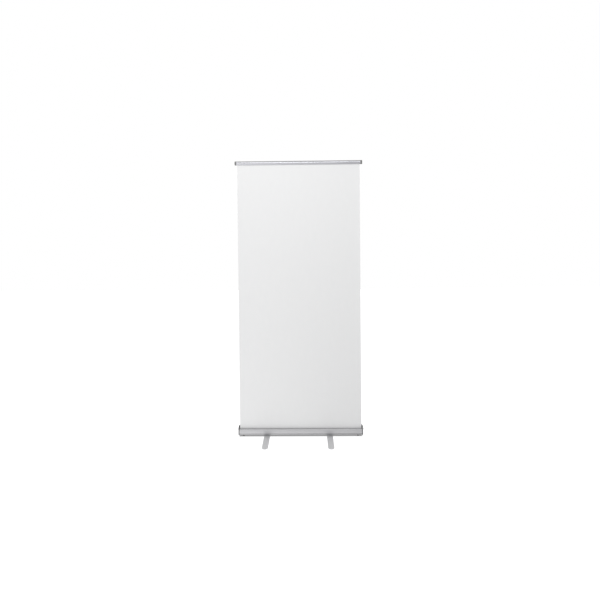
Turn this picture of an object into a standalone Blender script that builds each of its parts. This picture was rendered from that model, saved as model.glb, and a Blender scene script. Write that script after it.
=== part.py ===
"""Roll-up banner stand: weighted silver base with a spring roller, printed film, clamp rail,
telescopic support pole and two swivel feet. Metres, +Z up, the film faces -Y."""

import math

import bmesh
import bpy
from mathutils import Matrix, Vector

# overall sizes
FILM_WIDTH = 0.918
STAND_HEIGHT = 2.070
BASE_DEPTH = 0.078
BASE_TOP_Z = 0.0555
SLOT_SETBACK = 0.024

# clearances
GAP = 0.0003
RUN_GAP = 0.0005

# base housing
BASE_BOTTOM_Z = 0.0075
HOUSING_WALL = 0.0016
HOUSING_OVER_FILM = 0.002
FRONT_LIP_DROP = 0.0035
SLOT_HALF = 0.0045
FRONT_CURVE_R = 0.0100
TOP_FRONT_R = 0.005
TOP_REAR_R = 0.004
LOW_REAR_R = 0.003
GROOVE_DEPTH = 0.0009
GROOVE_RISE = 0.0006
GROOVE_W = 0.0026
BOSS_R = 0.0032
BOSS_BORE_R = 0.0015

# end plates, end caps and their screws
PLATE_T = 0.004
CAP_T = 0.0034
CAP_BOTTOM_Z = 0.003
CAP_HOLE_R = 0.0043
CAP_LEDGE_OUT = 0.0050
CAP_LEDGE_T = 0.0028
CAP_SPREAD = 0.0004
NOSE_RISE = 0.0120
NOSE_Y = (0.008, 0.028)
SCREW_HEAD_R = 0.0026
SCREW_HEAD_T = 0.0016
SCREW_SHANK_R = 0.0012
SCREW_LEN = 0.014
COUNTERBORE = 0.0022

# roller and spring
ROLLER_R = 0.0125
ROLLER_WALL = 0.0012
WOUND_R = 0.0160
AXLE_R = 0.0040
PLUG_FLANGE_T = 0.002
PLUG_DEPTH = 0.018
SPRING_R = 0.0082
SPRING_WIRE_R = 0.0010
SPRING_TURNS = 16
SPRING_LEN = 0.25
MANDREL_LEN = 0.33
BUSH_LEN = 0.012

# film
FILM_T = 0.0004

# feet
FOOT_WIDTH = 0.045
FOOT_REACH = 0.233
FOOT_T = 0.004
FOOT_LEFT_X = -0.252
FOOT_RIGHT_X = 0.219
FOOT_PAD_T = 0.002
FOOT_PAD_R = 0.015
RIVET_R = 0.004
RIVET_HEAD_R = 0.008
RIVET_HEAD_T = 0.0013
STOP_R = 0.0025
PAD_R = 0.0075

# top rail
RAIL_H = 0.030
RAIL_DEPTH = 0.024
RAIL_WALL = 0.0014
RAIL_OVER_FILM = 0.006
RAIL_CAP_T = 0.0124
RAIL_SPLIT_H = 0.0215
HINGE_R = 0.0011
SOCKET_WALL = 0.0014
JAW_NECK = 0.0032
GRIP_H = 0.006
GRIP_T = 0.0022
FINGER_T = 0.003

# pole
ROLL_ROOM = 0.003
LOWER_R = 0.0110
TUBE_STEP = 0.0015
MIDDLE_R = LOWER_R - TUBE_STEP
UPPER_R = MIDDLE_R - TUBE_STEP
TUBE_WALL = 0.0010
SPIGOT_R = 0.0055
SOCKET_R = 0.0077
SOCKET_FLANGE_R = 0.0100
SOCKET_FLANGE_T = 0.0015
COLLAR_WALL = 0.003
COLLAR_H = 0.024
NUT_H = 0.040
SECTION_OVERLAP = 0.055
COLLAR_RIBS = 14

# values that follow from the sizes above
SLOT_X = FILM_WIDTH / 2
HOUSING_X = SLOT_X + HOUSING_OVER_FILM
PLATE_X0 = HOUSING_X + GAP
PLATE_X1 = PLATE_X0 + PLATE_T
CAP_X0 = PLATE_X1 + GAP
CAP_X1 = CAP_X0 + CAP_T
FRONT_Y = -SLOT_SETBACK
ROLLER_Y = WOUND_R + GAP + FILM_T / 2
POLE_Y = ROLLER_Y + WOUND_R + ROLL_ROOM + SOCKET_R + GAP
REAR_Y = max(BASE_DEPTH - SLOT_SETBACK, POLE_Y + SOCKET_FLANGE_R + 0.0005)
ROLLER_Z = (BASE_BOTTOM_Z + BASE_TOP_Z) / 2
LIP_Z = BASE_TOP_Z - FRONT_LIP_DROP
FOOT_Z0 = FOOT_PAD_T + GAP
FOOT_Z1 = FOOT_Z0 + FOOT_T
WASHER_Z0 = FOOT_Z1 + GAP
WASHER_Z1 = BASE_BOTTOM_Z - GAP
RAIL_X = SLOT_X + RAIL_OVER_FILM
RAIL_Z0 = STAND_HEIGHT - RAIL_H
ROLLER_HALF = SLOT_X - 0.001


def clear_scene():
    for old in list(bpy.data.objects):
        bpy.data.objects.remove(old, do_unlink=True)


def finish_material(name, colour, metallic, roughness):
    mat = bpy.data.materials.new(name)
    mat.use_nodes = True
    shader = mat.node_tree.nodes["Principled BSDF"]
    shader.inputs["Base Color"].default_value = (*colour, 1.0)
    shader.inputs["Metallic"].default_value = metallic
    shader.inputs["Roughness"].default_value = roughness
    mat.diffuse_color = (*colour, 1.0)
    return mat


MATERIAL_KINDS = {
    "satin_aluminium": ((0.56, 0.56, 0.57), 1.0, 0.42),
    "bright_aluminium": ((0.70, 0.70, 0.72), 1.0, 0.30),
    "steel": ((0.52, 0.53, 0.55), 1.0, 0.30),
    "spring_steel": ((0.20, 0.20, 0.22), 1.0, 0.40),
    "silver_plastic": ((0.60, 0.60, 0.61), 0.0, 0.45),
    "black_plastic": ((0.03, 0.03, 0.03), 0.0, 0.50),
    "grey_plastic": ((0.16, 0.16, 0.15), 0.0, 0.50),
    "white_plastic": ((0.75, 0.75, 0.73), 0.0, 0.45),
    "rubber": ((0.02, 0.02, 0.02), 0.0, 0.85),
    "felt": ((0.03, 0.03, 0.03), 0.0, 0.95),
    "film": ((0.82, 0.82, 0.82), 0.0, 0.35),
}


def add_object(name, mesh_data, kind, smooth=True):
    """Makes one named sub-part with a material of its own."""
    mesh = bpy.data.meshes.new(name)
    bmesh.ops.recalc_face_normals(mesh_data, faces=mesh_data.faces)
    mesh_data.to_mesh(mesh)
    mesh_data.free()
    obj = bpy.data.objects.new(name, mesh)
    bpy.context.scene.collection.objects.link(obj)
    colour, metallic, roughness = MATERIAL_KINDS[kind]
    mesh.materials.append(finish_material(name + "_finish", colour, metallic, roughness))
    if smooth:
        mesh.shade_smooth()
        mesh.set_sharp_from_angle(angle=math.radians(35))
    return obj


def set_origin(obj, point):
    """Puts the piece's origin on its joint axis without moving the piece."""
    shift = Vector(point)
    obj.data.transform(Matrix.Translation(-shift))
    obj.location = shift


def arc(cy, cz, radius, start, end, steps):
    """Points of a circular arc in a section plane, angles in degrees."""
    points = []
    for i in range(steps + 1):
        a = math.radians(start + (end - start) * i / steps)
        points.append((cy + radius * math.cos(a), cz + radius * math.sin(a)))
    return points


def offset_line(points, distance):
    """An open line moved sideways by a distance, to its left."""
    moved = []
    for i, (y, z) in enumerate(points):
        y0, z0 = points[max(i - 1, 0)]
        y1, z1 = points[min(i + 1, len(points) - 1)]
        dy = y1 - y0
        dz = z1 - z0
        length = math.hypot(dy, dz)
        moved.append((y - dz / length * distance, z + dy / length * distance))
    return moved


def add_prism(data, section, start, end, axis="X"):
    """Adds a straight extrusion of a closed section to mesh data."""
    def place(a, b, along):
        if axis == "X":
            return (along, a, b)
        if axis == "Y":
            return (a, along, b)
        return (a, b, along)

    near = [data.verts.new(place(a, b, start)) for a, b in section]
    far = [data.verts.new(place(a, b, end)) for a, b in section]
    data.faces.new(near)
    data.faces.new(list(reversed(far)))
    count = len(section)
    for i in range(count):
        j = (i + 1) % count
        data.faces.new((near[i], far[i], far[j], near[j]))


def add_turned(data, outline, centre, axis="Z", steps=28):
    """Adds a turned shape. The outline is a closed loop of (radius, height) or ends on the axis."""
    def place(radius, height, angle):
        a = radius * math.cos(angle)
        b = radius * math.sin(angle)
        if axis == "Z":
            return (centre[0] + a, centre[1] + b, centre[2] + height)
        return (centre[0] + height, centre[1] + a, centre[2] + b)

    rings = []
    for radius, height in outline:
        if radius == 0:
            rings.append([data.verts.new(place(0, height, 0))])
        else:
            turn = 2 * math.pi / steps
            rings.append([data.verts.new(place(radius, height, turn * k)) for k in range(steps)])
    solid = outline[0][0] == 0
    last = len(rings) - 1 if solid else len(rings)
    for i in range(last):
        near = rings[i]
        far = rings[(i + 1) % len(rings)]
        for k in range(steps):
            n = (k + 1) % steps
            if len(near) == 1:
                data.faces.new((near[0], far[k], far[n]))
            elif len(far) == 1:
                data.faces.new((near[k], near[n], far[0]))
            else:
                data.faces.new((near[k], near[n], far[n], far[k]))


def add_cylinder(data, radius, start, end, centre, axis="Z", steps=24):
    outline = [(0, start), (radius, start), (radius, end), (0, end)]
    add_turned(data, outline, centre, axis, steps)


def prism(name, section, start, end, kind, axis="X"):
    data = bmesh.new()
    add_prism(data, section, start, end, axis)
    return add_object(name, data, kind)


def turned(name, outline, centre, kind, axis="Z", steps=28):
    data = bmesh.new()
    add_turned(data, outline, centre, axis, steps)
    return add_object(name, data, kind)


def shape_with(obj, data, operation, label):
    """Cuts or joins a helper body, which stays hidden."""
    bmesh.ops.recalc_face_normals(data, faces=data.faces)
    mesh = bpy.data.meshes.new(label)
    data.to_mesh(mesh)
    data.free()
    helper = bpy.data.objects.new(label, mesh)
    bpy.context.scene.collection.objects.link(helper)
    helper.hide_render = True
    helper.display_type = "WIRE"
    step = obj.modifiers.new(label, "BOOLEAN")
    step.operation = operation
    step.solver = "EXACT"
    step.object = helper
    helper.location = (0, 0, 0)


def soften(obj, width, segments=1, angle=40):
    """A small moulded or rolled edge."""
    edge = obj.modifiers.new("edge", "BEVEL")
    edge.width = width
    edge.segments = segments
    edge.limit_method = "ANGLE"
    edge.angle_limit = math.radians(angle)


def tube_outline(outer, inner, start, end):
    return [(inner, start), (outer, start), (outer, end), (inner, end)]


# ---------------------------------------------------------------- base section

def front_curve(grooved, spread=0.0, bottom=None):
    """Lower front curve, front face and top front corner of the base, bottom to top."""
    low = BASE_BOTTOM_Z if bottom is None else bottom
    cy = FRONT_Y + FRONT_CURVE_R
    cz = BASE_BOTTOM_Z + FRONT_CURVE_R
    radius = FRONT_CURVE_R + spread
    if grooved:
        points = arc(cy, cz, radius, 270, 180, 9)
        for step, up in ((0.0, 0.0), (GROOVE_DEPTH, 0.0004), (GROOVE_DEPTH, GROOVE_W - 0.0004),
                         (0.0, GROOVE_W)):
            points.append((FRONT_Y - spread + step, cz + GROOVE_RISE + up))
    elif bottom is None:
        points = arc(cy, cz, radius, 270, 180, 9)
    else:
        points = [(cy + 0.002, low)] + arc(cy, cz, radius, 232, 180, 6)
    rise = LIP_Z - TOP_FRONT_R - cz
    for share, bulge in ((0.33, 0.0005), (0.67, 0.0002)):
        points.append((FRONT_Y - spread - bulge, cz + rise * share))
    top_y = FRONT_Y + TOP_FRONT_R + 0.0012
    points += arc(top_y, LIP_Z - TOP_FRONT_R, TOP_FRONT_R + spread, 180, 90, 4)
    return points


def rear_curve(spread=0.0, bottom=None):
    """Top rear corner, rear wall and lower rear corner of the base, top to bottom."""
    low = BASE_BOTTOM_Z - spread if bottom is None else bottom
    points = arc(REAR_Y - TOP_REAR_R, BASE_TOP_Z - TOP_REAR_R, TOP_REAR_R + spread, 90, 0, 4)
    points += arc(REAR_Y - LOW_REAR_R, low + LOW_REAR_R, LOW_REAR_R + spread * 0, 0, -90, 3)
    return points


def housing_section():
    outer = [(SLOT_HALF, BASE_TOP_Z)] + rear_curve() + front_curve(True) + [(-SLOT_HALF, LIP_Z)]
    plain = [(SLOT_HALF, BASE_TOP_Z)] + rear_curve() + front_curve(False) + [(-SLOT_HALF, LIP_Z)]
    inner = offset_line(plain, -HOUSING_WALL)
    return outer + list(reversed(inner))


LOW_BOSS_IN = FRONT_CURVE_R - (FRONT_CURVE_R - HOUSING_WALL - BOSS_R + 0.0008) * 0.7071
BOSS_POINTS = (
    (REAR_Y - TOP_REAR_R - 0.0002, BASE_TOP_Z - TOP_REAR_R - 0.0002),
    (REAR_Y - TOP_REAR_R, BASE_BOTTOM_Z + 0.004),
    (FRONT_Y + LOW_BOSS_IN, BASE_BOTTOM_Z + LOW_BOSS_IN),
    (FRONT_Y + 0.0055, LIP_Z - 0.0042),
)


def make_housing():
    housing = prism("base_housing", housing_section(), -HOUSING_X, HOUSING_X, "satin_aluminium")
    bosses = bmesh.new()
    for y, z in BOSS_POINTS:
        add_cylinder(bosses, BOSS_R, -HOUSING_X, HOUSING_X, (0, y, z), "X", 14)
    shape_with(housing, bosses, "UNION", "housing_screw_bosses")
    bores = bmesh.new()
    for y, z in BOSS_POINTS:
        add_cylinder(bores, BOSS_BORE_R, -HOUSING_X - 0.01, HOUSING_X + 0.01, (0, y, z), "X", 8)
    shape_with(housing, bores, "DIFFERENCE", "housing_screw_bores")
    holes = bmesh.new()
    for x in (FOOT_LEFT_X, FOOT_RIGHT_X):
        reach = BASE_BOTTOM_Z + HOUSING_WALL + 0.001
        add_cylinder(holes, RIVET_R + GAP, BASE_BOTTOM_Z - 0.001, reach, (x, 0, 0), "Z", 20)
    low = BASE_BOTTOM_Z + HOUSING_WALL + 0.001
    add_cylinder(holes, SOCKET_R + GAP, low, BASE_TOP_Z + 0.001, (0, POLE_Y, 0), "Z", 24)
    shape_with(housing, holes, "DIFFERENCE", "housing_holes")


def full_outline(spread, bottom):
    """Outline of the base end without the slot."""
    rise = BASE_TOP_Z + spread
    crown = [(-SLOT_HALF, LIP_Z + spread), (SLOT_HALF - 0.003, rise)]
    return crown + rear_curve(spread, bottom) + front_curve(False, spread, bottom)


def mirrored_range(side, near, far):
    return (side * near, side * far)


def make_end(side, word):
    inner, outer = mirrored_range(side, PLATE_X0, PLATE_X1)
    plate = prism("end_plate_" + word, full_outline(-0.0006, BASE_BOTTOM_Z + 0.0006), inner, outer,
                  "black_plastic")
    nose_top = BASE_TOP_Z + NOSE_RISE
    over_cap = BASE_TOP_Z + CAP_SPREAD + GAP
    nose = bmesh.new()
    section = [
        (side * (PLATE_X0 + 0.0004), BASE_TOP_Z - 0.004),
        (side * (PLATE_X1 - 0.0004), BASE_TOP_Z - 0.004),
        (side * (PLATE_X1 - 0.0004), over_cap),
        (side * (CAP_X1 - 0.0002), over_cap),
        (side * (CAP_X1 - 0.0002), nose_top - 0.0012),
        (side * (CAP_X1 - 0.0014), nose_top),
        (side * (PLATE_X0 + 0.0014), nose_top),
        (side * (PLATE_X0 + 0.0004), nose_top - 0.0010),
    ]
    add_prism(nose, section, NOSE_Y[0], NOSE_Y[1], "Y")
    shape_with(plate, nose, "UNION", "plate_nose_" + word)
    holes = bmesh.new()
    for y, z in BOSS_POINTS:
        ends = sorted((inner - side * 0.001, outer + side * 0.001))
        add_cylinder(holes, SCREW_SHANK_R + GAP, ends[0], ends[1], (0, y, z), "X", 12)
    ends = sorted((inner - side * 0.001, outer + side * 0.001))
    add_cylinder(holes, AXLE_R + GAP, ends[0], ends[1], (0, ROLLER_Y, ROLLER_Z), "X", 24)
    shape_with(plate, holes, "DIFFERENCE", "plate_holes_" + word)
    sinks = bmesh.new()
    for y, z in BOSS_POINTS:
        ends = sorted((side * (PLATE_X1 - COUNTERBORE), side * (PLATE_X1 + 0.001)))
        add_cylinder(sinks, SCREW_HEAD_R + GAP, ends[0], ends[1], (0, y, z), "X", 12)
    shape_with(plate, sinks, "DIFFERENCE", "plate_sinks_" + word)

    for number, (y, z) in enumerate(BOSS_POINTS, 1):
        seat = PLATE_X1 - COUNTERBORE + GAP
        outline = [
            (0, seat + SCREW_HEAD_T),
            (SCREW_HEAD_R, seat + SCREW_HEAD_T),
            (SCREW_HEAD_R, seat),
            (SCREW_SHANK_R, seat),
            (SCREW_SHANK_R, seat - SCREW_LEN),
            (0, seat - SCREW_LEN - 0.001),
        ]
        outline = [(r, side * h) for r, h in outline]
        turned("end_screw_%s_%d" % (word, number), outline, (0, y, z), "steel", "X", 12)

    inner, outer = mirrored_range(side, CAP_X0, CAP_X1)
    cap = prism("end_cap_" + word, full_outline(CAP_SPREAD, CAP_BOTTOM_Z), inner, outer,
                "silver_plastic")
    ledge = bmesh.new()
    section = [
        (FRONT_Y + 0.008, LIP_Z - CAP_LEDGE_T),
        (REAR_Y - 0.006, LIP_Z - CAP_LEDGE_T),
        (REAR_Y - 0.006, LIP_Z),
        (FRONT_Y + 0.008, LIP_Z),
    ]
    ends = (side * (CAP_X1 - 0.002), side * (CAP_X1 + CAP_LEDGE_OUT))
    add_prism(ledge, section, *ends)
    shape_with(cap, ledge, "UNION", "cap_ledge_" + word)
    hole = bmesh.new()
    ends = sorted((inner - side * 0.001, outer + side * 0.001))
    add_cylinder(hole, CAP_HOLE_R, ends[0], ends[1], (0, ROLLER_Y, ROLLER_Z), "X", 24)
    shape_with(cap, hole, "DIFFERENCE", "cap_hole_" + word)
    soften(cap, 0.0006)


def make_base_trim():
    edge = SLOT_HALF - GAP
    face = FILM_T / 2 + RUN_GAP
    for sign, word, top in ((-1, "front", LIP_Z), (1, "rear", BASE_TOP_Z)):
        section = [
            (sign * face, top - 0.0060),
            (sign * edge, top - 0.0060),
            (sign * edge, top - 0.0004),
            (sign * face, top - 0.0012),
        ]
        prism("slot_felt_" + word, section, -HOUSING_X + 0.001, HOUSING_X - 0.001, "felt")
    for x in (-1, 1):
        for y, place in ((FRONT_Y + 0.0175, "front"), (REAR_Y - 0.012, "rear")):
            word = "left" if x < 0 else "right"
            centre = (x * (HOUSING_X - 0.030), y, 0)
            outline = [
                (0, 0),
                (PAD_R - 0.001, 0),
                (PAD_R, 0.001),
                (PAD_R, BASE_BOTTOM_Z - GAP),
                (0, BASE_BOTTOM_Z - GAP),
            ]
            turned("base_pad_%s_%s" % (word, place), outline, centre, "rubber", "Z", 20)


# ---------------------------------------------------------------- roller

def make_roller():
    centre = (0, ROLLER_Y, ROLLER_Z)
    half = ROLLER_HALF - PLUG_FLANGE_T - GAP
    tube = tube_outline(ROLLER_R, ROLLER_R - ROLLER_WALL, -half, half)
    set_origin(turned("roller_tube", tube, centre, "steel", "X", 32), centre)
    wound = tube_outline(WOUND_R, ROLLER_R + GAP, -SLOT_X + GAP, SLOT_X - GAP)
    set_origin(turned("film_wound", wound, centre, "film", "X", 40), centre)
    fit = ROLLER_R - ROLLER_WALL - GAP
    bore = AXLE_R + GAP
    for side, name in ((-1, "roller_plug_idler"), (1, "roller_plug_spring")):
        outline = [
            (bore, ROLLER_HALF),
            (ROLLER_R, ROLLER_HALF),
            (ROLLER_R, half + GAP),
            (fit, half + GAP),
            (fit, half - PLUG_DEPTH),
            (bore, half - PLUG_DEPTH),
        ]
        outline = [(r, side * h) for r, h in outline]
        set_origin(turned(name, outline, centre, "white_plastic", "X", 24), centre)
    head = 0.0010
    axle = [
        (0, PLATE_X1 - head),
        (AXLE_R, PLATE_X1 - head),
        (AXLE_R, half - PLUG_DEPTH + 0.002),
        (0, half - PLUG_DEPTH + 0.001),
    ]
    turned("idler_axle", [(r, -h) for r, h in axle], centre, "steel", "X", 24)
    mandrel = [
        (0, PLATE_X1 - head),
        (AXLE_R, PLATE_X1 - head),
        (AXLE_R, PLATE_X1 - MANDREL_LEN),
        (0, PLATE_X1 - MANDREL_LEN),
    ]
    turned("spring_mandrel", mandrel, centre, "steel", "X", 24)
    start = PLATE_X1 - MANDREL_LEN + 0.004
    bush = tube_outline(fit, bore, start, start + BUSH_LEN)
    set_origin(turned("mandrel_bush", bush, centre, "white_plastic", "X", 24), centre)
    make_spring(start + BUSH_LEN + 0.010, centre)


def make_spring(start, centre):
    """Torsion spring: a coil round the mandrel whose first end turns in to grip it."""
    data = bmesh.new()
    steps = 14
    around = 5
    count = SPRING_TURNS * steps
    rings = []
    tail = 4
    for i in range(count + 1 + tail):
        k = max(i - tail, 0)
        angle = 2 * math.pi * k / steps
        inward = max(tail - i, 0) / tail
        radius = SPRING_R - inward * (SPRING_R - AXLE_R - SPRING_WIRE_R - GAP)
        angle -= inward * 0.9
        along = start + SPRING_LEN * k / count
        out = Vector((0, math.cos(angle), math.sin(angle)))
        spot = Vector(centre) + Vector((along, 0, 0)) + out * radius
        ring = []
        for j in range(around):
            a = 2 * math.pi * j / around
            offset = out * math.cos(a) + Vector((1, 0, 0)) * math.sin(a)
            ring.append(data.verts.new(spot + offset * SPRING_WIRE_R))
        rings.append(ring)
    for near, far in zip(rings, rings[1:]):
        for j in range(around):
            n = (j + 1) % around
            data.faces.new((near[j], near[n], far[n], far[j]))
    data.faces.new(rings[0])
    data.faces.new(list(reversed(rings[-1])))
    add_object("torsion_spring", data, "spring_steel")


# ---------------------------------------------------------------- film

def make_film():
    """The pulled-out film, from its tangent on the roll up into the clamp rail."""
    half = FILM_T / 2
    bottom = ROLLER_Z
    top = RAIL_Z0 + 0.012
    section = [(-half, bottom), (half, bottom), (half, top), (-half, top)]
    film = prism("banner_film", section, -SLOT_X, SLOT_X, "film")
    set_origin(film, (0, 0, bottom))


# ---------------------------------------------------------------- feet

def foot_outline(x):
    half = FOOT_WIDTH / 2
    tip = -(FOOT_REACH - half)
    points = arc(x, 0, half, 0, 180, 14)
    points += arc(x, tip, half, 180, 360, 14)
    return points


def make_foot(x, word):
    foot = prism("foot_" + word, foot_outline(x), FOOT_Z0, FOOT_Z1, "steel", "Z")
    hole = bmesh.new()
    add_cylinder(hole, RIVET_R + GAP, FOOT_Z0 - 0.001, FOOT_Z1 + 0.001, (x, 0, 0), "Z", 20)
    shape_with(foot, hole, "DIFFERENCE", "foot_hole_" + word)
    soften(foot, 0.0008, 1, 60)
    set_origin(foot, (x, 0, 0))
    tip_y = -(FOOT_REACH - FOOT_WIDTH / 2)
    outline = [
        (0, 0),
        (FOOT_PAD_R - 0.001, 0),
        (FOOT_PAD_R, FOOT_PAD_T * 0.5),
        (FOOT_PAD_R, FOOT_PAD_T),
        (0, FOOT_PAD_T),
    ]
    pad = turned("foot_tip_pad_" + word, outline, (x, tip_y, 0), "rubber", "Z", 24)
    set_origin(pad, (x, 0, 0))
    washer = tube_outline(RIVET_HEAD_R, RIVET_R + GAP, WASHER_Z0, WASHER_Z1)
    turned("foot_washer_" + word, washer, (x, 0, 0), "white_plastic", "Z", 20)
    low = FOOT_Z0 - GAP - RIVET_HEAD_T
    inside = BASE_BOTTOM_Z + HOUSING_WALL + GAP
    rivet = [
        (0, low),
        (RIVET_HEAD_R - 0.0006, low),
        (RIVET_HEAD_R, low + RIVET_HEAD_T / 2),
        (RIVET_HEAD_R, low + RIVET_HEAD_T),
        (RIVET_R, low + RIVET_HEAD_T),
        (RIVET_R, inside),
        (RIVET_HEAD_R - 0.001, inside),
        (RIVET_HEAD_R - 0.002, inside + 0.0016),
        (0, inside + 0.0016),
    ]
    turned("foot_rivet_" + word, rivet, (x, 0, 0), "steel", "Z", 20)
    away = -1 if x < 0 else 1
    stop_x = x + away * (FOOT_WIDTH / 2 + STOP_R + GAP)
    stop = [(0, FOOT_Z0 + 0.0005), (STOP_R, FOOT_Z0 + 0.0005), (STOP_R, BASE_BOTTOM_Z - GAP),
            (0, BASE_BOTTOM_Z - GAP)]
    turned("foot_stop_" + word, stop, (stop_x, FRONT_Y + 0.016, 0), "steel", "Z", 16)


# ---------------------------------------------------------------- top rail

def rail_arc(start, end, steps, inset=0.0):
    """Part of the rail's oval section, angles in degrees from +Y."""
    mid = RAIL_Z0 + RAIL_H / 2
    points = []
    for i in range(steps + 1):
        a = math.radians(start + (end - start) * i / steps)
        y = (RAIL_DEPTH / 2 - inset) * math.cos(a)
        z = (RAIL_H / 2 - inset) * math.sin(a)
        points.append((y, mid + z))
    return points


def rail_angle(height, side):
    """Angle of the oval at a height above the rail's foot, on the front (-1) or rear (1)."""
    share = (height - RAIL_H / 2) / (RAIL_H / 2)
    a = math.degrees(math.asin(max(-1.0, min(1.0, share))))
    return 180 - a if side < 0 else a


def hinge_point():
    """Centre of the jaw's bead: the back half's socket round it just reaches the oval."""
    inset = HINGE_R + GAP + SOCKET_WALL
    a = math.radians(rail_angle(RAIL_SPLIT_H, -1))
    y = (RAIL_DEPTH / 2 - inset) * math.cos(a)
    z = (RAIL_H / 2 - inset) * math.sin(a)
    return (y, RAIL_Z0 + RAIL_H / 2 + z)


def finger_faces():
    """Front and rear faces of the hook's finger, which stands behind the rail's rear jaw wall."""
    front = GRIP_T + FILM_T / 2 + 2 * GAP + RAIL_WALL + RUN_GAP
    return front, front + FINGER_T


def make_rail():
    hinge_y, hinge_z = hinge_point()
    jaw = GRIP_T + FILM_T / 2 + GAP
    channel = finger_faces()[1] + RUN_GAP + RAIL_WALL
    channel_angle = -math.degrees(math.acos(channel / (RAIL_DEPTH / 2)))
    split = rail_angle(RAIL_SPLIT_H, -1)
    outer = rail_arc(channel_angle, split, 24)
    inner = rail_arc(channel_angle, split, 24, RAIL_WALL)
    back = prism("rail_back", outer + list(reversed(inner)), -RAIL_X, RAIL_X, "satin_aluminium")
    web = bmesh.new()
    floor_z = RAIL_Z0 + 0.0002
    wall_y = jaw + GAP
    roof_z = RAIL_Z0 + 0.0235
    section = [
        (wall_y, floor_z + 0.0006),
        (wall_y + RAIL_WALL, floor_z + 0.0006),
        (wall_y + RAIL_WALL, roof_z),
        (RAIL_DEPTH / 2 - 0.0026, roof_z),
        (RAIL_DEPTH / 2 - 0.0032, roof_z + RAIL_WALL),
        (wall_y, roof_z + RAIL_WALL),
    ]
    add_prism(web, section, -RAIL_X, RAIL_X)
    shape_with(back, web, "UNION", "rail_inner_web")
    socket = bmesh.new()
    hook = arc(hinge_y, hinge_z, HINGE_R + GAP, 148, -50, 9)
    hook += arc(hinge_y, hinge_z, HINGE_R + GAP + SOCKET_WALL, -50, 148, 9)
    add_prism(socket, hook, -RAIL_X, RAIL_X)
    shape_with(back, socket, "UNION", "rail_hinge_socket")
    set_origin(back, (0, 0, RAIL_Z0))

    jaw_angle_front = -180 + math.degrees(math.acos(wall_y / (RAIL_DEPTH / 2 - RAIL_WALL)))
    start = rail_angle(RAIL_SPLIT_H - JAW_NECK, -1)
    end = jaw_angle_front + 360
    outer = rail_arc(start, end, 16)
    inner = rail_arc(start, end, 16, RAIL_WALL)
    front = prism("rail_front", outer + list(reversed(inner)), -RAIL_X, RAIL_X, "bright_aluminium")
    bead = bmesh.new()
    add_cylinder(bead, HINGE_R, -RAIL_X, RAIL_X, (0, hinge_y, hinge_z), "X", 16)
    shape_with(front, bead, "UNION", "rail_hinge_bead")
    arm = bmesh.new()
    edge_y, edge_z = rail_arc(start + 3, start + 3, 1, RAIL_WALL / 2)[0]
    run = math.hypot(edge_y - hinge_y, edge_z - hinge_z)
    across_y = -(edge_z - hinge_z) / run * 0.0006
    across_z = (edge_y - hinge_y) / run * 0.0006
    section = [
        (hinge_y + across_y, hinge_z + across_z),
        (edge_y + across_y, edge_z + across_z),
        (edge_y - across_y, edge_z - across_z),
        (hinge_y - across_y, hinge_z - across_z),
    ]
    add_prism(arm, section, -RAIL_X, RAIL_X)
    shape_with(front, arm, "UNION", "rail_hinge_arm")
    leg = bmesh.new()
    section = [
        (-wall_y, floor_z + 0.0006),
        (-wall_y - RAIL_WALL, floor_z + 0.0006),
        (-wall_y - RAIL_WALL, RAIL_Z0 + 0.0075),
        (-wall_y, RAIL_Z0 + 0.0075),
    ]
    add_prism(leg, section, -RAIL_X, RAIL_X)
    shape_with(front, leg, "UNION", "rail_jaw_leg")
    set_origin(front, (0, hinge_y, hinge_z))

    for sign, word in ((-1, "front"), (1, "back")):
        near = FILM_T / 2 + GAP
        section = [
            (sign * near, RAIL_Z0 + 0.0010),
            (sign * jaw, RAIL_Z0 + 0.0010),
            (sign * jaw, RAIL_Z0 + 0.0010 + GRIP_H),
            (sign * near, RAIL_Z0 + 0.0010 + GRIP_H),
        ]
        grip = prism("rail_grip_" + word, section, -SLOT_X, SLOT_X, "white_plastic")
        set_origin(grip, (0, hinge_y, hinge_z))


def make_rail_cap(side, word):
    inner = RAIL_X + GAP
    outer = inner + RAIL_CAP_T
    cap = prism("rail_cap_" + word, rail_arc(0, 345, 23, -0.0002), side * inner, side * outer,
                "grey_plastic")
    soften(cap, 0.0018, 2)
    dish = bmesh.new()
    ends = sorted((side * (outer - 0.0008), side * (outer + 0.001)))
    mid = RAIL_Z0 + RAIL_H / 2
    add_cylinder(dish, 0.0062, ends[0], ends[1], (0, 0, mid), "X", 24)
    shape_with(cap, dish, "DIFFERENCE", "rail_cap_dish_" + word)
    bore = bmesh.new()
    ends = sorted((side * (outer - 0.006), side * (outer + 0.001)))
    add_cylinder(bore, 0.0019, ends[0], ends[1], (0, 0, mid), "X", 12)
    shape_with(cap, bore, "DIFFERENCE", "rail_cap_bore_" + word)
    seat = outer - 0.0008 + GAP
    outline = [
        (0, seat + 0.0012),
        (0.0030, seat + 0.0012),
        (0.0036, seat + 0.0006),
        (0.0036, seat),
        (0.0016, seat),
        (0.0016, outer - 0.0055),
        (0, outer - 0.0055),
    ]
    outline = [(r, side * h) for r, h in outline]
    turned("rail_cap_screw_" + word, outline, (0, 0, mid), "steel", "X", 16)


# ---------------------------------------------------------------- pole

def pole_levels():
    """Heights of the three pole sections and of their collars."""
    start = BASE_TOP_Z + SOCKET_FLANGE_T + 2 * GAP + 0.0024
    hook_foot = RAIL_Z0 - 0.018
    length = (hook_foot - start + 2 * SECTION_OVERLAP) / 3
    lower = (start + GAP, start + length)
    middle = (lower[1] - SECTION_OVERLAP, lower[1] - SECTION_OVERLAP + length)
    upper = (middle[1] - SECTION_OVERLAP, hook_foot - GAP)
    return start, lower, middle, upper, hook_foot


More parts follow.
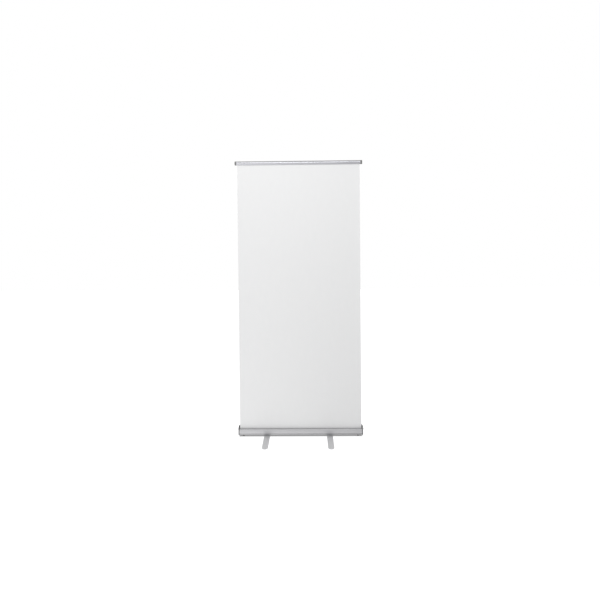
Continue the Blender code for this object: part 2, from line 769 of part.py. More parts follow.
def make_collar(name, top_z, outer_tube, inner_tube):
    """A clamp ring on a tube's end and the twist nut that grips the next tube."""
    centre = (0, POLE_Y, 0)
    bore = outer_tube + GAP
    rim = outer_tube + COLLAR_WALL
    ring_top = top_z - 0.016
    ring = [
        (bore, ring_top - COLLAR_H),
        (rim - 0.0012, ring_top - COLLAR_H),
        (rim, ring_top - COLLAR_H + 0.002),
        (rim, ring_top),
        (bore, ring_top),
    ]
    turned(name + "_ring", ring, centre, "black_plastic", "Z", 28)
    low = ring_top + GAP
    high = low + NUT_H
    outline = [
        (bore, low),
        (rim, low),
        (rim, high - 0.008),
        (inner_tube + 0.0030, high),
        (inner_tube + GAP, high),
        (inner_tube + GAP, top_z + GAP),
        (bore, top_z + GAP),
    ]
    nut = turned(name + "_nut", outline, centre, "grey_plastic", "Z", 28)
    ribs = bmesh.new()
    for k in range(COLLAR_RIBS):
        a = 2 * math.pi * k / COLLAR_RIBS
        spot = (rim * math.cos(a), POLE_Y + rim * math.sin(a), 0)
        add_cylinder(ribs, 0.0009, low + 0.003, high - 0.011, spot, "Z", 6)
    shape_with(nut, ribs, "UNION", name + "_ribs")
    set_origin(nut, centre)


def make_pole():
    start, lower, middle, upper, hook_foot = pole_levels()
    centre = (0, POLE_Y, 0)
    floor = BASE_BOTTOM_Z + HOUSING_WALL + 0.002
    seat = BASE_TOP_Z + GAP
    socket = [
        (0, floor),
        (SOCKET_R - 0.001, floor),
        (SOCKET_R, floor + 0.001),
        (SOCKET_R, seat),
        (SOCKET_FLANGE_R, seat),
        (SOCKET_FLANGE_R, seat + SOCKET_FLANGE_T - 0.0005),
        (SOCKET_FLANGE_R - 0.0005, seat + SOCKET_FLANGE_T),
        (SPIGOT_R + GAP, seat + SOCKET_FLANGE_T),
        (SPIGOT_R + GAP, floor + 0.003),
        (0, floor + 0.003),
    ]
    turned("pole_socket", socket, centre, "black_plastic", "Z", 28)
    plug = [
        (0, floor + 0.003 + GAP),
        (SPIGOT_R - 0.001, floor + 0.003 + GAP),
        (SPIGOT_R, floor + 0.005),
        (SPIGOT_R, seat + SOCKET_FLANGE_T + GAP),
        (LOWER_R, seat + SOCKET_FLANGE_T + GAP),
        (LOWER_R, start),
        (LOWER_R - TUBE_WALL - GAP, start),
        (LOWER_R - TUBE_WALL - GAP, start + 0.016),
        (0, start + 0.016),
    ]
    turned("pole_foot_plug", plug, centre, "black_plastic", "Z", 24)
    for name, radius, (low, high) in (
        ("pole_lower_tube", LOWER_R, lower),
        ("pole_middle_tube", MIDDLE_R, middle),
        ("pole_upper_tube", UPPER_R, upper),
    ):
        tube = turned(name, tube_outline(radius, radius - TUBE_WALL, low, high), centre,
                      "bright_aluminium", "Z", 32)
        set_origin(tube, centre)
    for name, radius, low, room in (
        ("pole_middle_clutch", MIDDLE_R, middle[0], LOWER_R - TUBE_WALL),
        ("pole_upper_clutch", UPPER_R, upper[0], MIDDLE_R - TUBE_WALL),
    ):
        outline = [
            (0, low - GAP - 0.010),
            (room - GAP - 0.001, low - GAP - 0.010),
            (room - GAP, low - GAP - 0.008),
            (room - GAP, low - GAP),
            (radius - TUBE_WALL - GAP, low - GAP),
            (radius - TUBE_WALL - GAP, low + 0.012),
            (0, low + 0.012),
        ]
        set_origin(turned(name, outline, centre, "white_plastic", "Z", 20), centre)
    make_collar("collar_lower", lower[1], LOWER_R, MIDDLE_R)
    make_collar("collar_upper", middle[1], MIDDLE_R, UPPER_R)
    make_hook(hook_foot, centre)


def make_hook(foot_z, centre):
    """Pole top: a plug with a forward arm whose finger stands up inside the rail's rear channel."""
    fit = UPPER_R - TUBE_WALL - GAP
    outline = [
        (0, foot_z - 0.022),
        (fit, foot_z - 0.022),
        (fit, foot_z),
        (UPPER_R + 0.0008, foot_z),
        (UPPER_R + 0.0008, foot_z + 0.016),
        (UPPER_R - 0.0020, foot_z + 0.019),
        (0, foot_z + 0.019),
    ]
    hook = turned("pole_hook", outline, centre, "black_plastic", "Z", 28)
    finger_y0, finger_y1 = finger_faces()
    arm_low = foot_z + 0.004
    arm_high = RAIL_Z0 - 0.003
    arm = bmesh.new()
    section = [
        (POLE_Y - 0.004, arm_low),
        (POLE_Y - 0.004, arm_high),
        (finger_y1, arm_high),
        (finger_y1, RAIL_Z0 + 0.017),
        (finger_y1 - 0.0008, RAIL_Z0 + 0.018),
        (finger_y0 + 0.0008, RAIL_Z0 + 0.018),
        (finger_y0, RAIL_Z0 + 0.017),
        (finger_y0, arm_low + 0.006),
        (finger_y0 + 0.004, arm_low),
    ]
    add_prism(arm, section, -0.007, 0.007)
    shape_with(hook, arm, "UNION", "hook_arm")
    set_origin(hook, centre)


def main():
    clear_scene()
    make_housing()
    for side, word in ((-1, "left"), (1, "right")):
        make_end(side, word)
        make_rail_cap(side, word)
    make_base_trim()
    make_roller()
    make_film()
    make_foot(FOOT_LEFT_X, "left")
    make_foot(FOOT_RIGHT_X, "right")
    make_rail()
    make_pole()


main()
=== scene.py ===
"""Roll-up banner stand: the finished look of every part, in the order the stand is put together."""

import math

import bmesh
import bpy
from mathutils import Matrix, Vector


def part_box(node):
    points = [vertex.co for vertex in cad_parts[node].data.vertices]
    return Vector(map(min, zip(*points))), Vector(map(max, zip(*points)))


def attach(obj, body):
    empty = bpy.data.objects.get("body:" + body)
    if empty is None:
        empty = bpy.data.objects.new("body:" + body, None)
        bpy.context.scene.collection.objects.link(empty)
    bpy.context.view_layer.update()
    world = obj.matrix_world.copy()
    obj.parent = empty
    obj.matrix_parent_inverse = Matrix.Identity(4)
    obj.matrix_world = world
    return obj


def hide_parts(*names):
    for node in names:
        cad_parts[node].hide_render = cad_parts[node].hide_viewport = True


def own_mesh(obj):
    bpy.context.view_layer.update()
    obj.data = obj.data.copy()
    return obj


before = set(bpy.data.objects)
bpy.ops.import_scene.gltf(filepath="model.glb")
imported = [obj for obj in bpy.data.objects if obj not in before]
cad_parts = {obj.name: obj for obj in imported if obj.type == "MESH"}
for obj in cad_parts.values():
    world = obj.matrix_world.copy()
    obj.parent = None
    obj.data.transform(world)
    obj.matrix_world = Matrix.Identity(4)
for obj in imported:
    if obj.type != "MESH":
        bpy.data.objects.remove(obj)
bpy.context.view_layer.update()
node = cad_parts

# ---------------------------------------------------------------- base housing
# The housing is one length of extruded aluminium, satin anodised, with a slot in its top for the
# film and a shallow groove along its lower front. Fine die lines run along it from the extrusion.

HOUSING_HALF = 0.461
FRONT_Y = -0.024
REAR_Y = 0.054
BASE_LOW = 0.0075
BASE_TOP = 0.0555
LIP_TOP = 0.052
SLOT_HALF = 0.0045
WALL = 0.0016
CORNER_R = 0.010
TOP_FRONT_R = 0.005
TOP_FRONT_IN = 0.0062
TOP_REAR_R = 0.004
LOW_REAR_R = 0.003
FRONT_BULGE = 0.0022
LIP_LAND = 0.001
GROOVE_LINE = ((0.0, 0.0006), (0.0008, 0.0009), (0.0009, 0.0013), (0.0009, 0.0025),
               (0.0008, 0.0029), (0.0, 0.0032))
GROOVE_LOW, GROOVE_HIGH, GROOVE_REACH = 0.0182, 0.0206, 0.0012
POLE_Y = 0.0435
SOCKET_HOLE_R = 0.008
SOCKET_HOLE_Z = (0.045, 0.06)
RIVET_HOLE_R = 0.0043
RIVET_HOLE_Z = (0.006, 0.011)
FOOT_X = {"left": -0.252, "right": 0.219}


def principled(name):
    """A new material and its shader."""
    finish = bpy.data.materials.new(name)
    finish.use_nodes = True
    return finish, finish.node_tree, finish.node_tree.nodes["Principled BSDF"]


def group_start(name, inputs, outputs):
    """An empty effect group with named sockets."""
    tree = bpy.data.node_groups.new(name, "ShaderNodeTree")
    for label, kind, value in inputs:
        socket = tree.interface.new_socket(label, in_out="INPUT", socket_type=kind)
        socket.default_value = value
    for label, kind in outputs:
        tree.interface.new_socket(label, in_out="OUTPUT", socket_type=kind)
    return tree, tree.nodes.new("NodeGroupInput"), tree.nodes.new("NodeGroupOutput")


def maths(tree, operation, first, second):
    """One Math node fed by sockets or plain numbers."""
    step = tree.nodes.new("ShaderNodeMath")
    step.operation = operation
    for slot, value in zip(step.inputs, (first, second)):
        if isinstance(value, (int, float)):
            slot.default_value = value
        else:
            tree.links.new(value, slot)
    return step.outputs[0]


def blend_colours(tree, share, first, second, kind="MIX"):
    """Two colours mixed by a share, each given as a socket or a plain value."""
    mix = tree.nodes.new("ShaderNodeMix")
    mix.data_type = "RGBA"
    mix.blend_type = kind
    colours = [s for s in mix.inputs if s.type == "RGBA"]
    for slot, value in zip((mix.inputs["Factor"], *colours), (share, first, second)):
        if isinstance(value, (int, float, tuple)):
            slot.default_value = value
        else:
            tree.links.new(value, slot)
    return [s for s in mix.outputs if s.type == "RGBA"][0]


def stretched_noise(tree, stretch, detail=4.0, roughness=0.6):
    """Noise on object coordinates, with its own number of cells per metre along each axis."""
    place = tree.nodes.new("ShaderNodeTexCoord")
    scale = tree.nodes.new("ShaderNodeMapping")
    scale.inputs["Scale"].default_value = stretch
    tree.links.new(place.outputs["Object"], scale.inputs["Vector"])
    noise = tree.nodes.new("ShaderNodeTexNoise")
    noise.inputs["Scale"].default_value = 1.0
    noise.inputs["Detail"].default_value = detail
    noise.inputs["Roughness"].default_value = roughness
    tree.links.new(scale.outputs["Vector"], noise.inputs["Vector"])
    return noise.outputs["Fac"]


def make_draw_lines_group(name, stretch):
    """Die lines of drawn or extruded metal: fine streaks along the piece, faint stains, rubs."""
    tree, given, out = group_start(
        name,
        [("Tone", "NodeSocketColor", (0.6, 0.6, 0.6, 1)),
         ("Streak", "NodeSocketFloat", 0.2),
         ("Roughness", "NodeSocketFloat", 0.4),
         ("Rub", "NodeSocketFloat", 0.3)],
        [("Color", "NodeSocketColor"), ("Roughness", "NodeSocketFloat"),
         ("Height", "NodeSocketFloat")])
    lines = stretched_noise(tree, stretch, 3.0, 0.7)
    cloud = stretched_noise(tree, (9.0, 9.0, 9.0), 3.0, 0.5)
    rub = stretched_noise(tree, (60.0, 140.0, 140.0), 6.0, 0.75)
    dark = maths(tree, "MULTIPLY", maths(tree, "SUBTRACT", lines, 0.5), given.outputs["Streak"])
    patch = maths(tree, "MULTIPLY", maths(tree, "SUBTRACT", cloud, 0.5), 0.12)
    level = maths(tree, "ADD", maths(tree, "ADD", dark, patch), 1.0)
    grey = tree.nodes.new("ShaderNodeCombineColor")
    for slot in grey.inputs:
        tree.links.new(level, slot)
    tone = blend_colours(tree, 1.0, given.outputs["Tone"], grey.outputs[0], "MULTIPLY")
    spots = maths(tree, "GREATER_THAN", rub, 0.70)
    spots = maths(tree, "MULTIPLY", spots, given.outputs["Rub"])
    tree.links.new(tone, out.inputs["Color"])
    wide = maths(tree, "MULTIPLY", maths(tree, "SUBTRACT", lines, 0.5), 0.22)
    wide = maths(tree, "ADD", wide, maths(tree, "MULTIPLY", spots, 0.12))
    wide = maths(tree, "ADD", wide, maths(tree, "MULTIPLY", patch, 0.8))
    tree.links.new(maths(tree, "ADD", wide, given.outputs["Roughness"]), out.inputs["Roughness"])
    high = maths(tree, "SUBTRACT", lines, maths(tree, "MULTIPLY", spots, 0.4))
    tree.links.new(high, out.inputs["Height"])
    return tree


LINES_ALONG_X = make_draw_lines_group("extrusion_lines_x", (3.0, 2600.0, 2600.0))
LINES_ALONG_Z = make_draw_lines_group("drawing_lines_z", (2400.0, 2400.0, 3.0))


def metal(name, lines, tone, roughness, streak=0.2, rub=0.3, bump=0.25, metallic=1.0):
    """Aluminium or steel with its drawing lines."""
    finish, tree, shader = principled(name)
    shader.inputs["Metallic"].default_value = metallic
    shader.inputs["IOR"].default_value = 1.5
    effect = tree.nodes.new("ShaderNodeGroup")
    effect.node_tree = lines
    effect.inputs["Tone"].default_value = (*tone, 1)
    effect.inputs["Streak"].default_value = streak
    effect.inputs["Roughness"].default_value = roughness
    effect.inputs["Rub"].default_value = rub
    relief = tree.nodes.new("ShaderNodeBump")
    relief.inputs["Strength"].default_value = bump
    relief.inputs["Distance"].default_value = 0.00004
    tree.links.new(effect.outputs["Color"], shader.inputs["Base Color"])
    tree.links.new(effect.outputs["Roughness"], shader.inputs["Roughness"])
    tree.links.new(effect.outputs["Height"], relief.inputs["Height"])
    tree.links.new(relief.outputs["Normal"], shader.inputs["Normal"])
    return finish


def wear(obj, finish):
    """Gives a piece one finish all over."""
    obj.data.materials.clear()
    obj.data.materials.append(finish)
    return obj


def add_piece(name, data, finish, corner=30.0):
    """A finished piece from mesh data, smooth except at edges sharper than the corner angle."""
    bmesh.ops.remove_doubles(data, verts=data.verts, dist=1e-7)
    bmesh.ops.recalc_face_normals(data, faces=data.faces)
    mesh = bpy.data.meshes.new(name)
    data.to_mesh(mesh)
    data.free()
    mesh.shade_smooth()
    mesh.set_sharp_from_angle(angle=math.radians(corner))
    obj = bpy.data.objects.new(name, mesh)
    bpy.context.scene.collection.objects.link(obj)
    return wear(obj, finish)


def round_edges(obj, width, segments=3, angle=35):
    """Breaks a piece's edges with a live bevel."""
    edge = obj.modifiers.new("rounded", "BEVEL")
    edge.width = width
    edge.segments = segments
    edge.limit_method = "ANGLE"
    edge.angle_limit = math.radians(angle)
    edge.harden_normals = False
    return obj


def arc(cy, cz, radius, start, end, steps):
    """Points of a circular arc, angles in degrees."""
    found = []
    for i in range(steps + 1):
        a = math.radians(start + (end - start) * i / steps)
        found.append((cy + radius * math.cos(a), cz + radius * math.sin(a)))
    return found


def beside(points, distance):
    """An open line moved to its left by a distance."""
    moved = []
    for i, (y, z) in enumerate(points):
        y0, z0 = points[max(i - 1, 0)]
        y1, z1 = points[min(i + 1, len(points) - 1)]
        run = math.hypot(y1 - y0, z1 - z0)
        moved.append((y - (z1 - z0) / run * distance, z + (y1 - y0) / run * distance))
    return moved


def extrude(data, section, stations, axis="X"):
    """Adds a straight extrusion of a closed section, with rings at the given stations."""
    def place(a, b, along):
        return {"X": (along, a, b), "Y": (a, along, b), "Z": (a, b, along)}[axis]

    rings = [[data.verts.new(place(a, b, s)) for a, b in section] for s in stations]
    data.faces.new(rings[0])
    data.faces.new(list(reversed(rings[-1])))
    count = len(section)
    for near, far in zip(rings, rings[1:]):
        for i in range(count):
            j = (i + 1) % count
            data.faces.new((near[i], far[i], far[j], near[j]))


def base_front(groove=True, spread=0.0):
    """Front of the base from its underside, round the lower corner, up to the slot's front lip."""
    cy, cz = FRONT_Y + CORNER_R, BASE_LOW + CORNER_R
    face = FRONT_Y - spread
    points = arc(cy, cz, CORNER_R + spread, 270, 180, 18)
    if groove:
        for depth, rise in GROOVE_LINE:
            points.append((face + depth, cz + rise))
    rise = LIP_TOP - TOP_FRONT_R - cz
    for share in (0.2, 0.4, 0.6, 0.8):
        points.append((face - FRONT_BULGE * share * (1 - share), cz + rise * share))
    return points + arc(FRONT_Y + TOP_FRONT_IN, LIP_TOP - TOP_FRONT_R, TOP_FRONT_R + spread,
                        180, 90, 10)


def base_rear(spread=0.0, low=BASE_LOW):
    """Rear of the base from its top, round both corners, to its underside."""
    points = arc(REAR_Y - TOP_REAR_R, BASE_TOP - TOP_REAR_R, TOP_REAR_R + spread, 90, 0, 8)
    return points + arc(REAR_Y - LOW_REAR_R + spread, low + LOW_REAR_R, LOW_REAR_R, 0, -90, 6)


def turned_mesh(data, outline, centre, axis="Z", steps=48):
    """Adds a turned shape. The outline is a loop of (radius, height), or ends on the axis."""
    def place(radius, height, angle):
        a, b = radius * math.cos(angle), radius * math.sin(angle)
        if axis == "Z":
            return (centre[0] + a, centre[1] + b, centre[2] + height)
        return (centre[0] + height, centre[1] + a, centre[2] + b)

    rings = []
    for radius, height in outline:
        count = 1 if radius == 0 else steps
        rings.append([data.verts.new(place(radius, height, 2 * math.pi * k / steps))
                      for k in range(count)])
    pairs = list(zip(rings, rings[1:]))
    if outline[0][0] != 0:
        pairs.append((rings[-1], rings[0]))
    for near, far in pairs:
        for k in range(steps):
            n = (k + 1) % steps
            if len(near) == 1:
                data.faces.new((near[0], far[k], far[n]))
            elif len(far) == 1:
                data.faces.new((near[k], near[n], far[0]))
            else:
                data.faces.new((near[k], near[n], far[n], far[k]))


def cut_with(obj, data, name):
    """Cuts a helper shape out of a piece and leaves a plain mesh."""
    bmesh.ops.recalc_face_normals(data, faces=data.faces)
    mesh = bpy.data.meshes.new(name)
    data.to_mesh(mesh)
    data.free()
    helper = bpy.data.objects.new(name, mesh)
    bpy.context.scene.collection.objects.link(helper)
    step = obj.modifiers.new(name, "BOOLEAN")
    step.operation = "DIFFERENCE"
    step.solver = "EXACT"
    step.object = helper
    bpy.context.view_layer.update()
    whole = obj.evaluated_get(bpy.context.evaluated_depsgraph_get())
    cut = bpy.data.meshes.new_from_object(whole)
    obj.modifiers.remove(step)
    obj.data = cut
    bpy.data.objects.remove(helper)
    return obj


def drill(data, radius, span, centre, steps=48):
    """Adds an upright cylinder to cut a round hole with."""
    low_end, high_end = span
    turned_mesh(data, [(0, low_end), (radius, low_end), (radius, high_end), (0, high_end)],
                centre, "Z", steps)


rear_lip = [(SLOT_HALF, BASE_TOP), (SLOT_HALF + LIP_LAND, BASE_TOP)]
front_lip = [(-SLOT_HALF - LIP_LAND, LIP_TOP), (-SLOT_HALF, LIP_TOP)]
outer = rear_lip + base_rear() + base_front() + front_lip
inner = rear_lip + base_rear() + base_front(False) + front_lip
housing_data = bmesh.new()
extrude(housing_data, outer + list(reversed(beside(inner, -WALL))), (-HOUSING_HALF, HOUSING_HALF))
satin_silver = metal("satin_silver_anodising", LINES_ALONG_X, (0.56, 0.56, 0.572), 0.44, 0.16)
housing = add_piece("housing_extrusion", housing_data, satin_silver)
holes = bmesh.new()
drill(holes, SOCKET_HOLE_R, SOCKET_HOLE_Z, (0, POLE_Y, 0))
for foot_x in FOOT_X.values():
    drill(holes, RIVET_HOLE_R, RIVET_HOLE_Z, (foot_x, 0, 0))
cut_with(housing, holes, "holes")
# Painted shade: the groove's faces wear a darker, rougher copy of the metal, darkened to stand for
# the shade in the groove.
housing.data.materials.append(metal("groove_painted_shade", LINES_ALONG_X, (0.26, 0.26, 0.265), 0.6))
for face in housing.data.polygons:
    in_groove = GROOVE_LOW < face.center.z < GROOVE_HIGH
    if in_groove and face.center.y < FRONT_Y + GROOVE_REACH:
        face.material_index = 1
round_edges(housing, 0.00025, 2, 50)
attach(housing, "base")
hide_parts("base_housing")

# ---------------------------------------------------------------- end plates and end caps
# Each end has a black glass-filled nylon plate that carries the roller, with a nose standing up
# beside the film, and over it a silver painted moulded cap with one round key hole.

CAP_IN = 0.4656
CAP_OUT = 0.469
CAP_LOW = 0.003
ROLLER_Y = 0.0165
ROLLER_Z = 0.0315
KEY_HOLE_R = 0.0043
CAP_RIM = 0.0022
CAP_DISH = 0.0005
LEDGE_LOW, LEDGE_TOP = 0.0492, 0.0520
LEDGE_ROOT, LEDGE_REACH = 0.0012, 0.0049
LEDGE_FRONT, LEDGE_REAR = FRONT_Y + 0.008, REAR_Y - 0.006


def make_moulded_group():
    """Fine spark-eroded texture of a moulding, with dust lying on upward faces."""
    tree, given, out = group_start(
        "moulded_texture",
        [("Tone", "NodeSocketColor", (0.2, 0.2, 0.2, 1)),
         ("Dust tone", "NodeSocketColor", (0.6, 0.58, 0.55, 1)),
         ("Dust", "NodeSocketFloat", 0.1),
         ("Roughness", "NodeSocketFloat", 0.5)],
        [("Color", "NodeSocketColor"), ("Roughness", "NodeSocketFloat"),
         ("Height", "NodeSocketFloat")])
    grain = stretched_noise(tree, (2200.0, 2200.0, 2200.0), 3.0, 0.6)
    cloud = stretched_noise(tree, (40.0, 40.0, 40.0), 4.0, 0.6)
    turn = tree.nodes.new("ShaderNodeTexCoord")
    split = tree.nodes.new("ShaderNodeSeparateXYZ")
    tree.links.new(turn.outputs["Normal"], split.inputs[0])
    up = maths(tree, "MAXIMUM", split.outputs["Z"], 0.0)
    lying = maths(tree, "MULTIPLY", up, maths(tree, "MULTIPLY", cloud, given.outputs["Dust"]))
    shade = maths(tree, "ADD", maths(tree, "MULTIPLY", maths(tree, "SUBTRACT", grain, 0.5), 0.25),
                  1.0)
    grey = tree.nodes.new("ShaderNodeCombineColor")
    for slot in grey.inputs:
        tree.links.new(shade, slot)
    tone = blend_colours(tree, 1.0, given.outputs["Tone"], grey.outputs[0], "MULTIPLY")
    tone = blend_colours(tree, lying, tone, given.outputs["Dust tone"])
    tree.links.new(tone, out.inputs["Color"])
    matt = maths(tree, "ADD", maths(tree, "MULTIPLY", maths(tree, "SUBTRACT", cloud, 0.5), 0.2),
                 given.outputs["Roughness"])
    tree.links.new(maths(tree, "ADD", matt, maths(tree, "MULTIPLY", lying, 0.4)),
                   out.inputs["Roughness"])
    tree.links.new(grain, out.inputs["Height"])
    return tree


MOULDED_TEXTURE = make_moulded_group()


def moulding(name, tone, roughness, dust=0.12, bump=0.3, metallic=0.0, coat=0.0):
    """A moulded plastic or rubber finish."""
    finish, tree, shader = principled(name)
    shader.inputs["Metallic"].default_value = metallic
    shader.inputs["IOR"].default_value = 1.49
    shader.inputs["Coat Weight"].default_value = coat
    effect = tree.nodes.new("ShaderNodeGroup")
    effect.node_tree = MOULDED_TEXTURE
    effect.inputs["Tone"].default_value = (*tone, 1)
    effect.inputs["Dust"].default_value = dust
    effect.inputs["Roughness"].default_value = roughness
    relief = tree.nodes.new("ShaderNodeBump")
    relief.inputs["Strength"].default_value = bump
    relief.inputs["Distance"].default_value = 0.00006
    tree.links.new(effect.outputs["Color"], shader.inputs["Base Color"])
    tree.links.new(effect.outputs["Roughness"], shader.inputs["Roughness"])
    tree.links.new(effect.outputs["Height"], relief.inputs["Height"])
    tree.links.new(relief.outputs["Normal"], shader.inputs["Normal"])
    return finish


def cap_outline(spread):
    """The end cap's edge: the base's own section, a little larger and closed below."""
    crown = [(-SLOT_HALF, LIP_TOP + spread), (SLOT_HALF - 0.003, BASE_TOP + spread)]
    cy, cz = FRONT_Y + CORNER_R, BASE_LOW + CORNER_R
    lower = [(cy + 0.002, CAP_LOW)] + arc(cy, cz, CORNER_R + spread, 232, 180, 14)
    upper = [p for p in base_front(False, spread) if p[1] > cz + 0.0002]
    return crown + base_rear(spread, CAP_LOW) + lower + upper


def carry_over(name, body, finish, corner=30.0, width=0.0, steps=2):
    """A finished copy of a plain part: its triangles joined, its edges broken, its faces smooth."""
    data = bmesh.new()
    data.from_mesh(node[name].data)
    bmesh.ops.remove_doubles(data, verts=data.verts, dist=2e-6)
    bmesh.ops.dissolve_limit(data, angle_limit=math.radians(0.5), verts=data.verts,
                             edges=data.edges)
    piece = add_piece("finished_" + name, data, finish, corner)
    if width:
        round_edges(piece, width, steps, 40)
    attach(piece, body)
    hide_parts(name)
    return piece


black_nylon = moulding("black_glass_filled_nylon", (0.022, 0.022, 0.023), 0.48)
silver_paint = moulding("silver_painted_moulding", (0.55, 0.55, 0.56), 0.40, 0.06, 0.22, 0.55)
for side, word in ((-1, "left"), (1, "right")):
    carry_over("end_plate_" + word, "base", black_nylon, 30, 0.0004)
    cap_data = bmesh.new()
    outline = cap_outline(0.0004)
    extrude(cap_data, outline, (side * CAP_IN, side * CAP_OUT))
    face = [f for f in cap_data.faces if all(abs(abs(v.co.x) - CAP_OUT) < 1e-6 for v in f.verts)]
    bmesh.ops.inset_region(cap_data, faces=face, thickness=CAP_RIM, use_even_offset=True)
    for point in face[0].verts:
        point.co.x -= side * CAP_DISH
    cap = add_piece("outer_end_cap_" + word, cap_data, silver_paint)
    hole = bmesh.new()
    flare = [(0, 0.460), (KEY_HOLE_R, 0.460), (KEY_HOLE_R, 0.4681), (KEY_HOLE_R + 0.0008, 0.4689),
             (KEY_HOLE_R + 0.0008, 0.475), (0, 0.475)]
    turned_mesh(hole, [(r, side * h) for r, h in flare], (0, ROLLER_Y, ROLLER_Z), "X", 40)
    cut_with(cap, hole, "key_hole")
    round_edges(cap, 0.0005, 3, 40)
    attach(cap, "base")
    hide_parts("end_cap_" + word)
    ledge_data = bmesh.new()
    ledge_section = [(LEDGE_FRONT, LEDGE_LOW), (LEDGE_REAR, LEDGE_LOW), (LEDGE_REAR, LEDGE_TOP),
                     (LEDGE_FRONT, LEDGE_TOP)]
    extrude(ledge_data, ledge_section,
            (side * (CAP_OUT - LEDGE_ROOT), side * (CAP_OUT + LEDGE_REACH)))
    ledge = add_piece("cap_finger_ledge_" + word, ledge_data, silver_paint)
    round_edges(ledge, 0.0009, 3, 40)
    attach(ledge, "base")

# ---------------------------------------------------------------- end screws
# Four zinc plated pan head screws with cross recesses hold each end plate to the housing's bosses.
# They sit in counterbores under the outer cap.

SCREW_SEAT = 0.4634
BOSSES = ((0.0498, 0.0513), (0.050, 0.0115), (-0.01824, 0.01326), (-0.0185, 0.0478))


def copies_tree():
    """Geometry nodes that set one part on every point, turned by the point's own angles."""
    tree = bpy.data.node_groups.new("copies_on_points", "GeometryNodeTree")
    for label, kind in (("Points", "NodeSocketGeometry"), ("Part", "NodeSocketObject"),
                        ("Finish", "NodeSocketMaterial"), ("Size", "NodeSocketFloat")):
        tree.interface.new_socket(label, in_out="INPUT", socket_type=kind)
    tree.interface.new_socket("Geometry", in_out="OUTPUT", socket_type="NodeSocketGeometry")
    given = tree.nodes.new("NodeGroupInput")
    out = tree.nodes.new("NodeGroupOutput")
    part = tree.nodes.new("GeometryNodeObjectInfo")
    part.inputs["As Instance"].default_value = True
    angles = tree.nodes.new("GeometryNodeInputNamedAttribute")
    angles.data_type = "FLOAT_VECTOR"
    angles.inputs["Name"].default_value = "turn"
    turn = tree.nodes.new("FunctionNodeEulerToRotation")
    put = tree.nodes.new("GeometryNodeInstanceOnPoints")
    real = tree.nodes.new("GeometryNodeRealizeInstances")
    paint = tree.nodes.new("GeometryNodeSetMaterial")
    link = tree.links.new
    link(given.outputs["Points"], put.inputs["Points"])
    link(given.outputs["Part"], part.inputs["Object"])
    link(part.outputs["Geometry"], put.inputs["Instance"])
    link(angles.outputs["Attribute"], turn.inputs[0])
    link(turn.outputs[0], put.inputs["Rotation"])
    link(given.outputs["Size"], put.inputs["Scale"])
    link(put.outputs["Instances"], real.inputs[0])
    link(real.outputs[0], paint.inputs["Geometry"])
    link(given.outputs["Finish"], paint.inputs["Material"])
    link(paint.outputs["Geometry"], out.inputs["Geometry"])
    return tree


def run_tree(tree, name, mesh, values):
    """Runs a geometry tree on a mesh and keeps the result as a plain piece."""
    carrier = bpy.data.objects.new(name + "_points", mesh)
    bpy.context.scene.collection.objects.link(carrier)
    step = carrier.modifiers.new(tree.name, "NODES")
    step.node_group = tree
    for item in tree.interface.items_tree:
        if item.item_type == "SOCKET" and item.in_out == "INPUT" and item.name in values:
            step[item.identifier] = values[item.name]
    bpy.context.view_layer.update()
    made = carrier.evaluated_get(bpy.context.evaluated_depsgraph_get())
    piece = bpy.data.objects.new(name, bpy.data.meshes.new_from_object(made))
    bpy.data.objects.remove(carrier)
    bpy.context.scene.collection.objects.link(piece)
    return piece


def points_mesh(name, spots):
    """Points with angles: a list of (place, turn)."""
    mesh = bpy.data.meshes.new(name)
    mesh.from_pydata([place for place, turn in spots], [], [])
    angles = mesh.attributes.new("turn", "FLOAT_VECTOR", "POINT")
    angles.data.foreach_set("vector", [a for place, turn in spots for a in turn])
    return mesh


def copies(name, pattern, spots, finish, size=1.0):
    """One pattern part set on every spot, as a single plain piece."""
    piece = run_tree(COPIES, name, points_mesh(name, spots),
                     {"Part": pattern, "Finish": finish, "Size": size})
    return wear(piece, finish)


COPIES = copies_tree()
zinc = metal("bright_zinc_plate", LINES_ALONG_Z, (0.60, 0.61, 0.62), 0.30, 0.10, 0.5)


def pattern_part(name, outline, finish, steps):
    """A turned part at the origin, to be copied and then removed."""
    data = bmesh.new()
    turned_mesh(data, outline, (0, 0, 0), "Z", steps)
    return add_piece(name, data, finish)


def cross_recess(part, depth, reach, top):
    """Cuts a cross drive into a screw head."""
    for width, length in ((0.0005, reach), (reach, 0.0005)):
        data = bmesh.new()
        section = [(-width, -length), (width, -length), (width, length), (-width, length)]
        extrude(data, section, (top - depth, top + 0.001), "Z")
        cut_with(part, data, "drive_slot")
    return part


pan_head = [(0, -0.0135), (0.0010, -0.0125), (0.0012, -0.0115), (0.0012, 0), (0.0026, 0),
            (0.0026, 0.0007), (0.0022, 0.0013), (0.0013, 0.0016), (0, 0.0016)]
screw = cross_recess(pattern_part("end_screw_pattern", pan_head, zinc, 24),
                     0.0009, 0.0013, 0.0016)
spots = []
for side in (-1, 1):
    for y, z in BOSSES:
        spots.append(((side * SCREW_SEAT, y, z), (0, side * math.pi / 2, 0)))
end_screws = copies("end_screws", screw, spots, zinc)
bpy.data.objects.remove(screw)
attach(end_screws, "base")
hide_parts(*["end_screw_%s_%d" % (w, k) for w in ("left", "right") for k in range(1, 5)])

# ---------------------------------------------------------------- slot felts
# Two dark grey pile strips line the slot, one on each lip. They wipe the film as it runs in and
# out. Each is a backing strip with rows of short fibres lying across the slot.

PILE_HALF = 0.457
PILE_COLUMNS = 380
PILE_ROWS = 3
PILE_Y = 0.0024
PILE_DROP = 0.0022
PILE_RISE = 0.0011
PILE_SHIFT = 0.0008
PILE_TURN = 1.35

pile_finish = moulding("dark_grey_pile", (0.09, 0.09, 0.092), 0.92, 0.05, 0.8)


